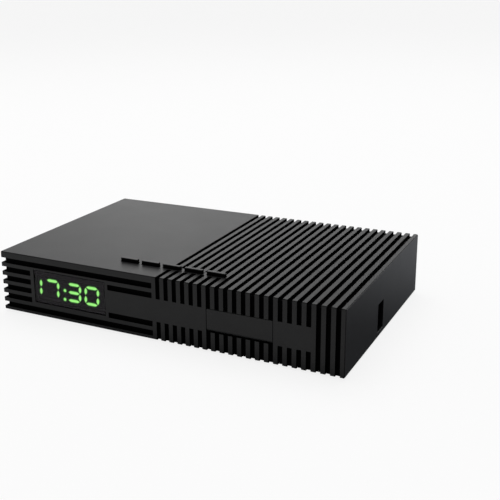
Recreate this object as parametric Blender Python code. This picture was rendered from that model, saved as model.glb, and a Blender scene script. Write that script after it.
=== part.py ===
"""Satellite television receiver: a flat box with a ribbed, grooved cover.

Lengths are in metres. Inside the part every place is given from the body's own datum: x from the
middle plane to the right, y back from the front face, z up from the underside of the body.
"""

import math

import bmesh
import bpy
from mathutils import Vector

for old in list(bpy.data.objects):
    bpy.data.objects.remove(old, do_unlink=True)

# Body
BODY_WIDTH = 0.2200
BODY_DEPTH = 0.1384
BODY_HEIGHT = 0.0375
BODY_EDGE = 0.0005
FOOT_PROUD = 0.0015
SOCKET_REACH = 0.0096

# Clearance between neighbours, and how far a cut runs past the face that it opens
GAP = 0.0003
OVERRUN = 0.0010

# Walls of the cover: the skin is what is left behind a groove
SKIN = 0.0020
PLAIN_WALL = 0.0024
POCKET_EDGE = 0.0010
POCKET_MIDDLE = 0.0040
POCKET_FRONT = 0.0260
POCKET_BACK = 0.0100

# Grooves over the top and down the front of the right half
RIB_COUNT = 21
GROOVE_WIDTH = 0.0027
GROOVE_DEPTH = 0.0020

# Grooves along the front of the left half and round its corner
LIP_HEIGHT = 0.0038
SIDE_GROOVE_COUNT = 6
SIDE_GROOVE_HEIGHT = 0.00335
SIDE_GROOVE_LOW = 0.00205
BAND_UPPER_GROOVE = 1
BAND_LOWER_GROOVE = 4
BAND_RIB_COUNT = 18

# Display window and what is behind it
WINDOW_WIDTH = 0.0507
WINDOW_LEFT = 0.0249
WINDOW_OVER_GROOVE = 0.0033
WINDOW_UNDER_GROOVE = 0.00145
WINDOW_THICK = 0.0012
WINDOW_SUNK = 0.0002
WINDOW_LEDGE = 0.0010
WINDOW_EDGE = 0.0002
PAD_LEFT = 0.0028
PAD_RIGHT = 0.0022
MODULE_SIDE = 0.00035
MODULE_OVER_SHARE = 0.110
MODULE_UNDER_SHARE = 0.176
MODULE_EDGE = 0.0003
DIGIT_FIRST = 0.0022
DIGIT_MARGIN_SHARE = 0.077
DIGIT_WIDTH = 0.0086
DIGIT_PITCH = 0.0127
COLON_SPACE = 0.0032
COLON_SHIFT = 0.0013
SEGMENT_THICK = 0.0004
SEGMENT_PLATE = 0.0005
SEGMENT_WIDTH_SHARE = 0.243
SEGMENT_SPACE_SHARE = 0.033
SLANT_SHARE = 0.06
COLON_RADIUS_SHARE = 0.128
COLON_SHARES = (0.0, 0.55)
IR_WIDTH = 0.0050
IR_DEPTH = 0.0040
IR_LENS_RADIUS = 0.0018

# Keys on the top
KEY_COUNT = 5
KEY_LENGTH = 0.0114
KEY_PITCH = 0.0141
KEY_DEPTH = 0.0024
KEY_RISE = 0.0022
ISLAND_END = 0.00127
KEY_FRONT = 0.0155
KEY_EDGE = 0.0003
KEY_TRAVEL = 0.0005
KEY_FLANGE_THICK = 0.0010
KEY_FLANGE_MARGIN = 0.0008
KEY_STEM_WIDTH = 0.0030
KEY_STEM_DEPTH = 0.0022
KEY_STEM_DROP = 0.0038
ISLAND_RIB_COUNT = 7
ISLAND_MARGIN = 0.0013
SWITCH_WIDTH = 0.0060
SWITCH_HEIGHT = 0.0061
KEY_PIN_RADIUS = 0.0010
KEY_PIN_LENGTH = 0.0028
KEY_PIN_SUNK = 0.0010

# Flap in the front band
FLAP_FIRST_GROOVE = 6
FLAP_LAST_GROOVE = 13
FLAP_THICK = 0.0020
PIN_RADIUS = 0.0009
PIN_REACH = 0.0015
BAY_MARGIN = 0.0020
BAY_THICK = 0.0016

# Sockets of the USB pattern
USB_WIDTH = 0.0131
USB_HEIGHT = 0.0058
USB_SHELL = 0.0004
USB_TONGUE = 0.0019
USB_TONGUE_WIDTH = 0.0110
USB_TONGUE_SUNK = 0.0009
USB_BACK_WALL = 0.0015
FRONT_USB_SUNK = 0.0040
SIDE_USB_LENGTH = 0.0140
SIDE_PORT_BACK = 0.0606
SIDE_PORT_UP = 0.01145
SIDE_PORT_WIDTH = 0.0086
SIDE_PORT_HEIGHT = 0.0150
SIDE_PORT_CHAMFER = 0.0010
USB_BOARD_LENGTH = 0.0200
USB_BOARD_HEIGHT = 0.0190
USB_BOARD_SET_BACK = 0.0020

# Boards
BOARD_THICK = 0.0016
MAIN_BOARD_SIDE = 0.0155
MAIN_BOARD_FRONT = 0.0400
MAIN_BOARD_BACK = 0.0055
NOTCH_SIDE = 0.0013
NOTCH_BACK = 0.0085
FRONT_BOARD_SET_BACK = 0.0129
FRONT_BOARD_MARGIN = 0.0040
FRONT_BOARD_OVER_RIM = 0.0028
FRONT_BOARD_UNDER_TOP = 0.0050
POST_CLEARANCE = 0.0025
POST_HEIGHT_SHARES = (0.75, 0.25, 0.50)
PILLAR_RADIUS = 0.0026
PILLAR_HEIGHT = 0.0030
PILLAR_FRONT = 0.0065
PILLAR_CLEARANCE = 0.0050
PILLAR_X_SHARES = (0.04, 0.90, 0.03, 0.80)
PILLAR_REAR_LEFT_SHARE = 0.62

# Base
FLOOR = 0.0020
RIM_HEIGHT = 0.0042
RIM_THICK = 0.0016
VENT_COUNT = 8
VENT_WIDTH = 0.0022
VENT_LENGTH = 0.0270
VENT_PITCH = 0.0056
VENT_CLEARANCE = 0.0020
VENT_MIDDLE_SHARES = (-0.45, 0.45)
FOOT_RADIUS = 0.0060
FOOT_SEAT = 0.0005
FOOT_EDGE = 0.0005
FOOT_SIDE = 0.0280
FOOT_END = 0.0160

# Posts and fasteners
BOSS_RADIUS = 0.0032
BOSS_SIDE = 0.0100
BOSS_FRONT = 0.0110
BOSS_BACK = 0.0140
BASE_BOSS_RADIUS = 0.0044
BASE_BOSS_HEIGHT = 0.0045
SCREW_RADIUS = 0.0012
SCREW_HEAD_RADIUS = 0.0027
SCREW_HEAD_HEIGHT = 0.0015
CASE_SCREW_LENGTH = 0.0120
BOARD_SCREW_LENGTH = 0.0048
REAR_BLOCK = 0.0080

# Rear panel
PANEL_THICK = 0.0012
PANEL_SUNK = 0.0016
PANEL_CLEARANCE = 0.0004
PANEL_VENT_COUNT = 9
PANEL_VENT_WIDTH = 0.0018
PANEL_VENT_HEIGHT = 0.0080
PANEL_VENT_PITCH = 0.0046
PANEL_VENT_DROP = 0.0040

# Rear sockets: the place of each along the main board, from its left end
LNB_IN_SHARE = 0.920
LNB_OUT_SHARE = 0.815
AUDIO_SHARE = 0.700
HDMI_SHARE = 0.575
LAN_SHARE = 0.425
AV_SHARE = 0.290
DC_SHARE = 0.090
SOCKET_STANDOFF = 0.0075
LNB_RADIUS = 0.00475
LNB_FLANGE_RADIUS = 0.0064
LNB_FLANGE_THICK = 0.0012
LNB_BORE_RADIUS = 0.0014
LNB_BORE_DEPTH = 0.0070
AUDIO_BODY = 0.0100
AUDIO_BODY_DEPTH = 0.0090
AUDIO_RADIUS = 0.00415
AUDIO_REACH = 0.0080
AUDIO_BORE_RADIUS = 0.0016
HDMI_WIDTH = 0.0152
HDMI_HEIGHT = 0.0061
HDMI_DEPTH = 0.0120
HDMI_SHELL = 0.0006
HDMI_TONGUE = 0.0010
HDMI_TONGUE_SUNK = 0.0015
HDMI_BACK_WALL = 0.0020
HDMI_CORNER = 0.0016
LAN_WIDTH = 0.0160
LAN_HEIGHT = 0.0134
LAN_DEPTH = 0.0210
LAN_CAVITY_WIDTH = 0.0118
LAN_CAVITY_HEIGHT = 0.0068
LAN_CAVITY_DEPTH = 0.0130
LAN_CAVITY_LOW = 0.0040
LAN_LATCH_WIDTH = 0.0060
LAN_LATCH_HEIGHT = 0.0025
AV_BODY = 0.0065
AV_BODY_DEPTH = 0.0120
AV_RADIUS = 0.0031
AV_BORE_RADIUS = 0.0018
AV_BORE_DEPTH = 0.0100
DC_WIDTH = 0.0090
DC_HEIGHT = 0.0110
DC_DEPTH = 0.0130
DC_BORE_RADIUS = 0.0032
DC_BORE_DEPTH = 0.0090
DC_PIN_RADIUS = 0.0010
DC_PIN_SUNK = 0.0015

# On the main board
TUNER_MARGIN = 0.0115
TUNER_DEPTH = 0.0300
TUNER_HEIGHT = 0.0130
TUNER_SHEET = 0.0008
PROCESSOR_SIZE = 0.0230
PROCESSOR_THICK = 0.0014
PROCESSOR_SHARE = 0.475
SINK_SIZE = 0.0300
SINK_PLATE = 0.0020
SINK_HEIGHT = 0.0090
SINK_FIN_COUNT = 8
SINK_FIN_THICK = 0.0012
CHIP_COUNT = 2
CHIP_WIDTH = 0.0100
CHIP_DEPTH = 0.0120
CHIP_THICK = 0.0011
CHIP_PITCH = 0.0150
CHIP_SPACE = 0.0100
CAPACITOR_COUNT = 3
CAPACITOR_RADIUS = 0.0031
CAPACITOR_HEIGHT = 0.0090
CAPACITOR_PITCH = 0.0085
CAPACITOR_SIDE = 0.0145
CAPACITOR_SPACE = 0.0040
COIL_SIZE = 0.0100
COIL_HEIGHT = 0.0045
HEADER_WIDTH = 0.0160
HEADER_DEPTH = 0.0050
HEADER_HEIGHT = 0.0040
HEADER_SHARE = 0.180
HEADER_SET_BACK = 0.0020
CABLE_WIDTH = 0.0130
CABLE_THICK = 0.0005
CABLE_UP = 0.0130
CABLE_BOW = 0.0120

# Facets of round pieces
ROUND_SIDES = 24
SMALL_SIDES = 12
BARREL_SIDES = 18
HEX_SIDES = 6
CABLE_STEPS = 12
SMOOTH_ANGLE = math.radians(40)
CORNERS = ("front_left", "front_right", "rear_left", "rear_right")

# Places that follow from the sizes above
half_width = BODY_WIDTH / 2
left_side = -half_width
rib_pitch = half_width / RIB_COUNT
rib_width = rib_pitch - GROOVE_WIDTH
front_wall = GROOVE_DEPTH + SKIN
inner_left = left_side + front_wall
inner_right = half_width - PLAIN_WALL
ceiling = BODY_HEIGHT - front_wall
window_left = left_side + WINDOW_LEFT
window_right = window_left + WINDOW_WIDTH
window_x = (window_left + window_right) / 2
window_back = WINDOW_SUNK + WINDOW_THICK
pad_left = window_left - PAD_LEFT
pad_right = window_right + PAD_RIGHT


side_groove_run = BODY_HEIGHT - LIP_HEIGHT - SIDE_GROOVE_HEIGHT - SIDE_GROOVE_LOW
side_groove_pitch = side_groove_run / (SIDE_GROOVE_COUNT - 1)


def side_groove_top(row):
    """Height of the upper wall of one front groove of the left half, row 0 being the highest."""
    return BODY_HEIGHT - LIP_HEIGHT - row * side_groove_pitch


window_low = side_groove_top(SIDE_GROOVE_COUNT - 1) + WINDOW_OVER_GROOVE
window_high = side_groove_top(0) - SIDE_GROOVE_HEIGHT - WINDOW_UNDER_GROOVE
band_high = side_groove_top(BAND_UPPER_GROOVE) - SIDE_GROOVE_HEIGHT
band_low = side_groove_top(BAND_LOWER_GROOVE)
band_middle = (band_high + band_low) / 2
island_front = KEY_FRONT - ISLAND_MARGIN
island_back = KEY_FRONT + KEY_DEPTH + ISLAND_MARGIN
flap_left = FLAP_FIRST_GROOVE * rib_pitch
flap_right = FLAP_LAST_GROOVE * rib_pitch + GROOVE_WIDTH
flap_x = (flap_left + flap_right) / 2
hinge_up = band_low + GAP + FLAP_THICK
plate_front = window_back + GAP + SEGMENT_THICK
plate_back = plate_front + SEGMENT_PLATE
module_left = window_left + WINDOW_LEDGE + MODULE_SIDE
module_right = window_right - WINDOW_LEDGE - MODULE_SIDE
hole_height = window_high - window_low - 2 * WINDOW_LEDGE
module_low = window_low + WINDOW_LEDGE + MODULE_OVER_SHARE * hole_height
module_high = window_high - WINDOW_LEDGE - MODULE_UNDER_SHARE * hole_height
module_middle = (module_low + module_high) / 2
digit_margin = DIGIT_MARGIN_SHARE * hole_height
digit_low = module_low + digit_margin
digit_height = module_high - module_low - 2 * digit_margin
segment_width = SEGMENT_WIDTH_SHARE * DIGIT_WIDTH
segment_space = SEGMENT_SPACE_SHARE * DIGIT_WIDTH
colon_radius = COLON_RADIUS_SHARE * DIGIT_WIDTH
front_board_back = FRONT_BOARD_SET_BACK + BOARD_THICK
front_board_low = RIM_HEIGHT + FRONT_BOARD_OVER_RIM
front_board_high = ceiling - FRONT_BOARD_UNDER_TOP
key_y = KEY_FRONT + KEY_DEPTH / 2
flange_high = ceiling - GAP
flange_low = flange_high - KEY_FLANGE_THICK
stem_low = flange_low - KEY_STEM_DROP
key_pin_low = stem_low - KEY_PIN_LENGTH
switch_high = key_pin_low + KEY_PIN_SUNK
panel_back = BODY_DEPTH - PANEL_SUNK
panel_front = panel_back - PANEL_THICK
board_low = FLOOR + PILLAR_HEIGHT + GAP
board_high = board_low + BOARD_THICK
seat = board_high + GAP
board_left = left_side + MAIN_BOARD_SIDE
board_right = half_width - MAIN_BOARD_SIDE
board_back = BODY_DEPTH - MAIN_BOARD_BACK
socket_front = board_back + GAP
board_width = board_right - board_left
lnb_in_x = board_left + LNB_IN_SHARE * board_width
lnb_out_x = board_left + LNB_OUT_SHARE * board_width
audio_x = board_left + AUDIO_SHARE * board_width
hdmi_x = board_left + HDMI_SHARE * board_width
lan_x = board_left + LAN_SHARE * board_width
av_x = board_left + AV_SHARE * board_width
dc_x = board_left + DC_SHARE * board_width
header_x = board_left + HEADER_SHARE * board_width
processor_x = board_left + PROCESSOR_SHARE * board_width
processor_y = (MAIN_BOARD_FRONT + panel_back - LAN_DEPTH) / 2
tuner_front = board_back - TUNER_DEPTH
screw_hole = SCREW_RADIUS + GAP
side_mouth = inner_right - GAP
usb_board_front = SIDE_PORT_BACK + USB_HEIGHT / 2 + GAP
usb_board_right = side_mouth - USB_BOARD_SET_BACK
clip_front = usb_board_front + BOARD_THICK + GAP
notch_x = usb_board_right - USB_BOARD_LENGTH - NOTCH_SIDE
notch_back = clip_front + RIM_THICK + NOTCH_BACK

# Every piece hangs on this empty, which puts the footprint's middle at the origin
datum = bpy.data.objects.new("body_datum", None)
datum.location = (0, -(BODY_DEPTH + SOCKET_REACH) / 2, FOOT_PROUD)
bpy.context.scene.collection.objects.link(datum)


def paint(name, colour, roughness, metallic):
    """A material for one finish."""
    made = bpy.data.materials.new(name)
    made.use_nodes = True
    shader = made.node_tree.nodes["Principled BSDF"]
    shader.inputs["Base Color"].default_value = (*colour, 1)
    shader.inputs["Roughness"].default_value = roughness
    shader.inputs["Metallic"].default_value = metallic
    return made


BLACK_SHELL = ((0.022, 0.022, 0.023), 0.62, 0)
BLACK_PART = ((0.012, 0.012, 0.012), 0.50, 0)
SMOKED = ((0.030, 0.026, 0.032), 0.12, 0)
LIT_GREEN = ((0.30, 0.90, 0.25), 0.40, 0)
BOARD_GREEN = ((0.02, 0.14, 0.06), 0.45, 0)
BRIGHT_METAL = ((0.62, 0.62, 0.60), 0.30, 1)
DULL_METAL = ((0.40, 0.41, 0.42), 0.45, 1)
RUBBER = ((0.015, 0.015, 0.015), 0.90, 0)
ORANGE = ((0.80, 0.25, 0.03), 0.50, 0)
GREY_RIBBON = ((0.50, 0.51, 0.53), 0.55, 0)


def add_prism(form, outline, axis, start, end):
    """Add to a bmesh an outline drawn in the other two axes (in x, y, z order), drawn out along axis."""
    across = [n for n in range(3) if n != axis]

    def point(pair, along):
        place = Vector((0, 0, 0))
        place[across[0]], place[across[1]] = pair
        place[axis] = along
        return place

    near = [form.verts.new(point(pair, start)) for pair in outline]
    far = [form.verts.new(point(pair, end)) for pair in outline]
    form.faces.new(near)
    form.faces.new(reversed(far))
    for n in range(len(outline)):
        after = (n + 1) % len(outline)
        form.faces.new((near[n], far[n], far[after], near[after]))


def add_block(form, low, high):
    """Add to a bmesh a box between two corners."""
    outline = [(low[0], low[1]), (high[0], low[1]), (high[0], high[1]), (low[0], high[1])]
    add_prism(form, outline, 2, low[2], high[2])


def circle(middle, radius, sides):
    """Points of a circle in two axes."""
    turns = [2 * math.pi * (n + 0.5) / sides for n in range(sides)]
    return [(middle[0] + radius * math.cos(turn), middle[1] + radius * math.sin(turn)) for turn in turns]


def add_turned(form, profile, axis, sides):
    """Add to a bmesh a profile of (radius, distance along axis) pairs turned round that axis."""
    across = [n for n in range(3) if n != axis]
    rings = []
    for radius, along in profile:
        ring = []
        for a, b in circle((0, 0), radius, sides):
            spot = Vector((0, 0, 0))
            spot[across[0]] = a
            spot[across[1]] = b
            spot[axis] = along
            ring.append(form.verts.new(spot))
        rings.append(ring)
    form.faces.new(rings[0])
    form.faces.new(reversed(rings[-1]))
    for lower, upper in zip(rings, rings[1:]):
        for n in range(sides):
            after = (n + 1) % sides
            form.faces.new((lower[n], upper[n], upper[after], lower[after]))


def piece(name, form, look, place=(0, 0, 0)):
    """Turn a bmesh into a named piece whose origin lies at place."""
    bmesh.ops.translate(form, verts=form.verts, vec=-Vector(place))
    bmesh.ops.recalc_face_normals(form, faces=form.faces)
    mesh = bpy.data.meshes.new(name)
    form.to_mesh(mesh)
    form.free()
    made = bpy.data.objects.new(name, mesh)
    made.location = place
    made.parent = datum
    bpy.context.scene.collection.objects.link(made)
    if look:
        mesh.materials.append(paint(name, *look))
    return made


def block(name, low, high, look=None, edge=0):
    """A box between two corners, with its origin in its middle and an optional chamfered edge."""
    form = bmesh.new()
    add_block(form, low, high)
    made = piece(name, form, look, (Vector(low) + Vector(high)) / 2)
    if edge:
        chamfer = made.modifiers.new("Edge", "BEVEL")
        chamfer.width = edge
        chamfer.segments = 1
        chamfer.limit_method = "ANGLE"
    return made


def blocks(name, corners, look=None):
    """Separate boxes in one object."""
    form = bmesh.new()
    for low, high in corners:
        add_block(form, low, high)
    return piece(name, form, look)


def prism(name, outline, axis, start, end, look=None):
    """An outline drawn out along an axis."""
    form = bmesh.new()
    add_prism(form, outline, axis, start, end)
    return piece(name, form, look)


def rods(name, middles, radius, axis, start, end, look=None, sides=ROUND_SIDES):
    """Round bars along one axis, one for each middle given in the other two axes."""
    form = bmesh.new()
    for middle in middles:
        add_prism(form, circle(middle, radius, sides), axis, start, end)
    made = piece(name, form, look)
    smooth(made)
    return made


def turned(names, profile, places, axis, look, sides=ROUND_SIDES):
    """Turned pieces that share one mesh, each standing at its own place."""
    form = bmesh.new()
    add_turned(form, profile, axis, sides)
    first = piece(names[0], form, look)
    smooth(first)
    first.location = places[0]
    for name, place in zip(names[1:], places[1:]):
        again = bpy.data.objects.new(name, first.data)
        again.parent = datum
        again.location = place
        bpy.context.scene.collection.objects.link(again)


def numbered(name, count):
    """Names of a row of equal pieces."""
    return [f"{name}_{n + 1}" for n in range(count)]


def smooth(made):
    """Shade round faces smooth and leave real corners sharp."""
    made.data.shade_smooth()
    made.data.set_sharp_from_angle(angle=SMOOTH_ANGLE)


def work(body, operation, tools):
    """Cut or join a piece with tools, which stay in the file as hidden guides."""
    for tool in tools:
        step = body.modifiers.new(tool.name, "BOOLEAN")
        step.operation = operation
        step.solver = "EXACT"
        step.object = tool
        tool.hide_render = True
        tool.display_type = "WIRE"


def cut(body, *tools):
    work(body, "DIFFERENCE", tools)


def join(body, *tools):
    work(body, "UNION", tools)


def mirrored_corners(side, front, back):
    """Four places, left and right of the middle plane, near the front and near the back."""
    return [(x, y) for y in (front, BODY_DEPTH - back) for x in (side - half_width, half_width - side)]


boss_places = mirrored_corners(BOSS_SIDE, BOSS_FRONT, BOSS_BACK)
bay_left, bay_right = flap_left - BAY_MARGIN, flap_right + BAY_MARGIN
post_offset = PILLAR_RADIUS + POST_CLEARANCE
front_post_xs = (module_left - post_offset, (module_right + bay_left) / 2, bay_right + post_offset)
front_post_places = [
    (x, front_board_low + share * (front_board_high - front_board_low))
    for x, share in zip(front_post_xs, POST_HEIGHT_SHARES)
]
pillar_front = MAIN_BOARD_FRONT + PILLAR_FRONT
pillar_left = MAIN_BOARD_FRONT + PILLAR_REAR_LEFT_SHARE * (board_back - MAIN_BOARD_FRONT)
pillar_right = tuner_front - PILLAR_CLEARANCE
pillar_places = [
    (board_left + share * board_width, y)
    for share, y in zip(PILLAR_X_SHARES, (pillar_front, pillar_front, pillar_left, pillar_right))
]
rear_screw_places = [
    (inner_left + REAR_BLOCK / 2, ceiling - REAR_BLOCK / 2),
    (inner_right - REAR_BLOCK / 2, ceiling - REAR_BLOCK / 2),
]
last_key = ISLAND_RIB_COUNT * rib_pitch - ISLAND_END - KEY_LENGTH / 2
key_places = [last_key - (KEY_COUNT - 1 - n) * KEY_PITCH for n in range(KEY_COUNT)]


def ribbed_grooves(form):
    """Grooves that run from the back edge over the top and down the front of the right half.

    Each is an angle drawn out sideways. The front band stops most of them, and the island under
    the keys stops the first few, so these are made in two or three stretches.
    """
    floor_z = BODY_HEIGHT - GROOVE_DEPTH
    above, behind = BODY_HEIGHT + OVERRUN, BODY_DEPTH + OVERRUN
    for n in range(RIB_COUNT):
        start = n * rib_pitch
        end = start + GROOVE_WIDTH
        foot = band_high if n < BAND_RIB_COUNT else -OVERRUN
        reach = island_front if n < ISLAND_RIB_COUNT else behind
        angle = [(-OVERRUN, foot), (GROOVE_DEPTH, foot), (GROOVE_DEPTH, floor_z),
                 (reach, floor_z), (reach, above), (-OVERRUN, above)]
        add_prism(form, angle, 0, start, end)
        if n < BAND_RIB_COUNT:
            add_block(form, (start, -OVERRUN, -OVERRUN), (end, GROOVE_DEPTH, band_low))
        if n < ISLAND_RIB_COUNT:
            add_block(form, (start, island_back, floor_z), (end, behind, above))


def side_grooves(form):
    """Grooves along the front of the left half that turn the corner and run back down the side."""
    outside, behind = left_side - OVERRUN, BODY_DEPTH + OVERRUN
    inside = left_side + GROOVE_DEPTH
    for row in range(SIDE_GROOVE_COUNT):
        high = side_groove_top(row)
        low = high - SIDE_GROOVE_HEIGHT
        whole = row in (0, SIDE_GROOVE_COUNT - 1)
        end = -rib_width if whole else pad_left
        angle = [(outside, -OVERRUN), (end, -OVERRUN), (end, GROOVE_DEPTH),
                 (inside, GROOVE_DEPTH), (inside, behind), (outside, behind)]
        add_prism(form, angle, 2, low, high)
        if row in (BAND_UPPER_GROOVE, BAND_LOWER_GROOVE):
            add_block(form, (pad_right, -OVERRUN, low), (-rib_width, GROOVE_DEPTH, high))


def side_port_cutter():
    """The upright slot of the side socket, with a chamfer round its outer edge."""
    form = bmesh.new()
    rings = [(inner_right - OVERRUN, 0), (half_width - SIDE_PORT_CHAMFER, 0),
             (half_width + OVERRUN, SIDE_PORT_CHAMFER + OVERRUN)]
    loops = []
    for x, grown in rings:
        across, up = SIDE_PORT_WIDTH / 2 + grown, SIDE_PORT_HEIGHT / 2 + grown
        corners = [(-across, -up), (across, -up), (across, up), (-across, up)]
        loops.append([form.verts.new((x, SIDE_PORT_BACK + y, SIDE_PORT_UP + z)) for y, z in corners])
    form.faces.new(loops[0])
    form.faces.new(reversed(loops[-1]))
    for near, far in zip(loops, loops[1:]):
        for n in range(len(near)):
            after = (n + 1) % len(near)
            form.faces.new((near[n], far[n], far[after], near[after]))
    return piece("side_port_cut", form, None)


def make_cover():
    """The moulded shell: top, front and both sides, with its posts and all its grooves and cut-outs."""
    cover = block("top_cover", (left_side, 0, 0), (half_width, BODY_DEPTH, BODY_HEIGHT), BLACK_SHELL,
                  BODY_EDGE)
    cavity = block("cavity_cut", (inner_left, front_wall, -OVERRUN), (inner_right, BODY_DEPTH + OVERRUN, ceiling))
    pocket = block("pocket_cut", (inner_left + POCKET_EDGE, POCKET_FRONT, ceiling - OVERRUN),
                   (-POCKET_MIDDLE, BODY_DEPTH - POCKET_BACK, BODY_HEIGHT - PLAIN_WALL))
    cut(cover, cavity, pocket)

    boss_low = BASE_BOSS_HEIGHT + GAP
    in_top = BODY_HEIGHT - PLAIN_WALL / 2
    in_front = GROOVE_DEPTH + SKIN / 2
    post_back = FRONT_BOARD_SET_BACK - GAP
    block_back = panel_front - GAP
    rear_corners = [((inner_left - SKIN / 2, block_back - REAR_BLOCK, ceiling - REAR_BLOCK),
                     (inner_left + REAR_BLOCK, block_back, in_top)),
                    ((inner_right - REAR_BLOCK, block_back - REAR_BLOCK, ceiling - REAR_BLOCK),
                     (inner_right + PLAIN_WALL / 2, block_back, in_top))]
    join(cover,
         blocks("rear_blocks", rear_corners),
         rods("cover_bosses", boss_places, BOSS_RADIUS, 2, boss_low, in_top),
         rods("front_posts", front_post_places, PILLAR_RADIUS, 1, in_front, post_back, sides=SMALL_SIDES))

    screw_top = BASE_BOSS_HEIGHT + CASE_SCREW_LENGTH
    screw_in = BOARD_SCREW_LENGTH + GAP
    cut(cover,
        rods("boss_pilots", boss_places, screw_hole, 2, boss_low - OVERRUN, screw_top, sides=SMALL_SIDES),
        rods("post_pilots", front_post_places, screw_hole, 1, post_back - screw_in, post_back + OVERRUN,
             sides=SMALL_SIDES),
        rods("rear_pilots", rear_screw_places, screw_hole, 1, block_back - screw_in, block_back + OVERRUN,
             sides=SMALL_SIDES))

    grooves = bmesh.new()
    ribbed_grooves(grooves)
    side_grooves(grooves)
    cut(cover, piece("groove_cut", grooves, None))

    rebate_back = window_back + GAP
    cut(cover,
        block("window_rebate_cut", (window_left - GAP, -OVERRUN, window_low - GAP),
              (window_right + GAP, rebate_back, window_high + GAP)),
        block("window_hole_cut", (window_left + WINDOW_LEDGE, rebate_back - OVERRUN, window_low + WINDOW_LEDGE),
              (window_right - WINDOW_LEDGE, front_wall + OVERRUN, window_high - WINDOW_LEDGE)))

    slot_y = KEY_DEPTH / 2 + GAP
    slot_x = KEY_LENGTH / 2 + GAP
    key_slots = [((x - slot_x, key_y - slot_y, ceiling - OVERRUN),
                  (x + slot_x, key_y + slot_y, BODY_HEIGHT + OVERRUN)) for x in key_places]
    cut(cover,
        block("flap_cut", (flap_left, -OVERRUN, band_low), (flap_right, front_wall + OVERRUN, band_high)),
        rods("hinge_cut", [(FLAP_THICK, hinge_up)], PIN_RADIUS + GAP, 0, flap_left - PIN_REACH,
             flap_right + PIN_REACH, sides=SMALL_SIDES),
        blocks("key_slots_cut", key_slots),
        side_port_cutter())


def make_window():
    """The smoked window, sitting in its rebate a hair below the front face."""
    block("display_window", (window_left, WINDOW_SUNK, window_low),
          (window_right, window_back, window_high), SMOKED, WINDOW_EDGE)


def bar_outline(start, end):
    """A segment: a bar along one axis whose two ends are cut to a point."""
    run = Vector(end) - Vector(start)
    along = run.normalized()
    side = Vector((-along.y, along.x)) * segment_width / 2
    tip = along * segment_width / 2
    first = Vector(start) + along * segment_space
    last = Vector(end) - along * segment_space
    return [first, first + tip - side, last - tip - side, last, last - tip + side, first + tip + side]


def slanted(outline):
    """Lean an outline in the front plane to the right, about the digits' own middle."""
    return [(x + SLANT_SHARE * (z - module_middle), z) for x, z in outline]


def digit_segments(right, only_right):
    """Outlines of the seven segments of a digit, or of the two on its right."""
    left = right - DIGIT_WIDTH
    levels = [digit_low, digit_low + digit_height / 2, digit_low + digit_height]
    sides = [right] if only_right else [left, right]
    bars = [((x, low), (x, high)) for x in sides for low, high in zip(levels, levels[1:])]
    if not only_right:
        bars += [((left, level), (right, level)) for level in levels]
    return [slanted(bar_outline(start, end)) for start, end in bars]


def make_display():
    """The clock module, and in front of it the light plate that carries the raised segments."""
    block("display_module", (module_left, plate_back + GAP, module_low),
          (module_right, FRONT_BOARD_SET_BACK - GAP, module_high), BLACK_PART, MODULE_EDGE)

    plate = block("display_segments", (module_left, plate_front, module_low),
                  (module_right, plate_back, module_high), LIT_GREEN)
    form = bmesh.new()
    front = plate_front - SEGMENT_THICK
    back = plate_front + SEGMENT_PLATE / 2
    first = module_left + DIGIT_FIRST
    rights = [first, first + DIGIT_PITCH, first + 2 * DIGIT_PITCH + COLON_SPACE,
              first + 3 * DIGIT_PITCH + COLON_SPACE]
    for right in rights:
        for outline in digit_segments(right, right == first):
            add_prism(form, outline, 1, front, back)
    colon_x = (rights[1] + rights[2] - DIGIT_WIDTH) / 2 + COLON_SHIFT
    for share in COLON_SHARES:
        dot = circle((colon_x, digit_low + share * digit_height), colon_radius, SMALL_SIDES)
        add_prism(form, slanted(dot), 1, front, back)
    join(plate, piece("raised_segments", form, None))


def make_ir_receiver():
    """The infra-red receiver under the clock module, looking out of the window's lower edge."""
    high = module_low - GAP
    back = FRONT_BOARD_SET_BACK - GAP
    half = IR_WIDTH / 2
    body = block("ir_receiver", (window_x - half, back - IR_DEPTH, front_board_low + GAP),
                 (window_x + half, back, high), BLACK_PART)
    join(body, rods("ir_lens", [(window_x, high - IR_LENS_RADIUS - GAP)], IR_LENS_RADIUS, 1, front_wall + GAP,
                    back - IR_DEPTH / 2, sides=SMALL_SIDES))


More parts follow.
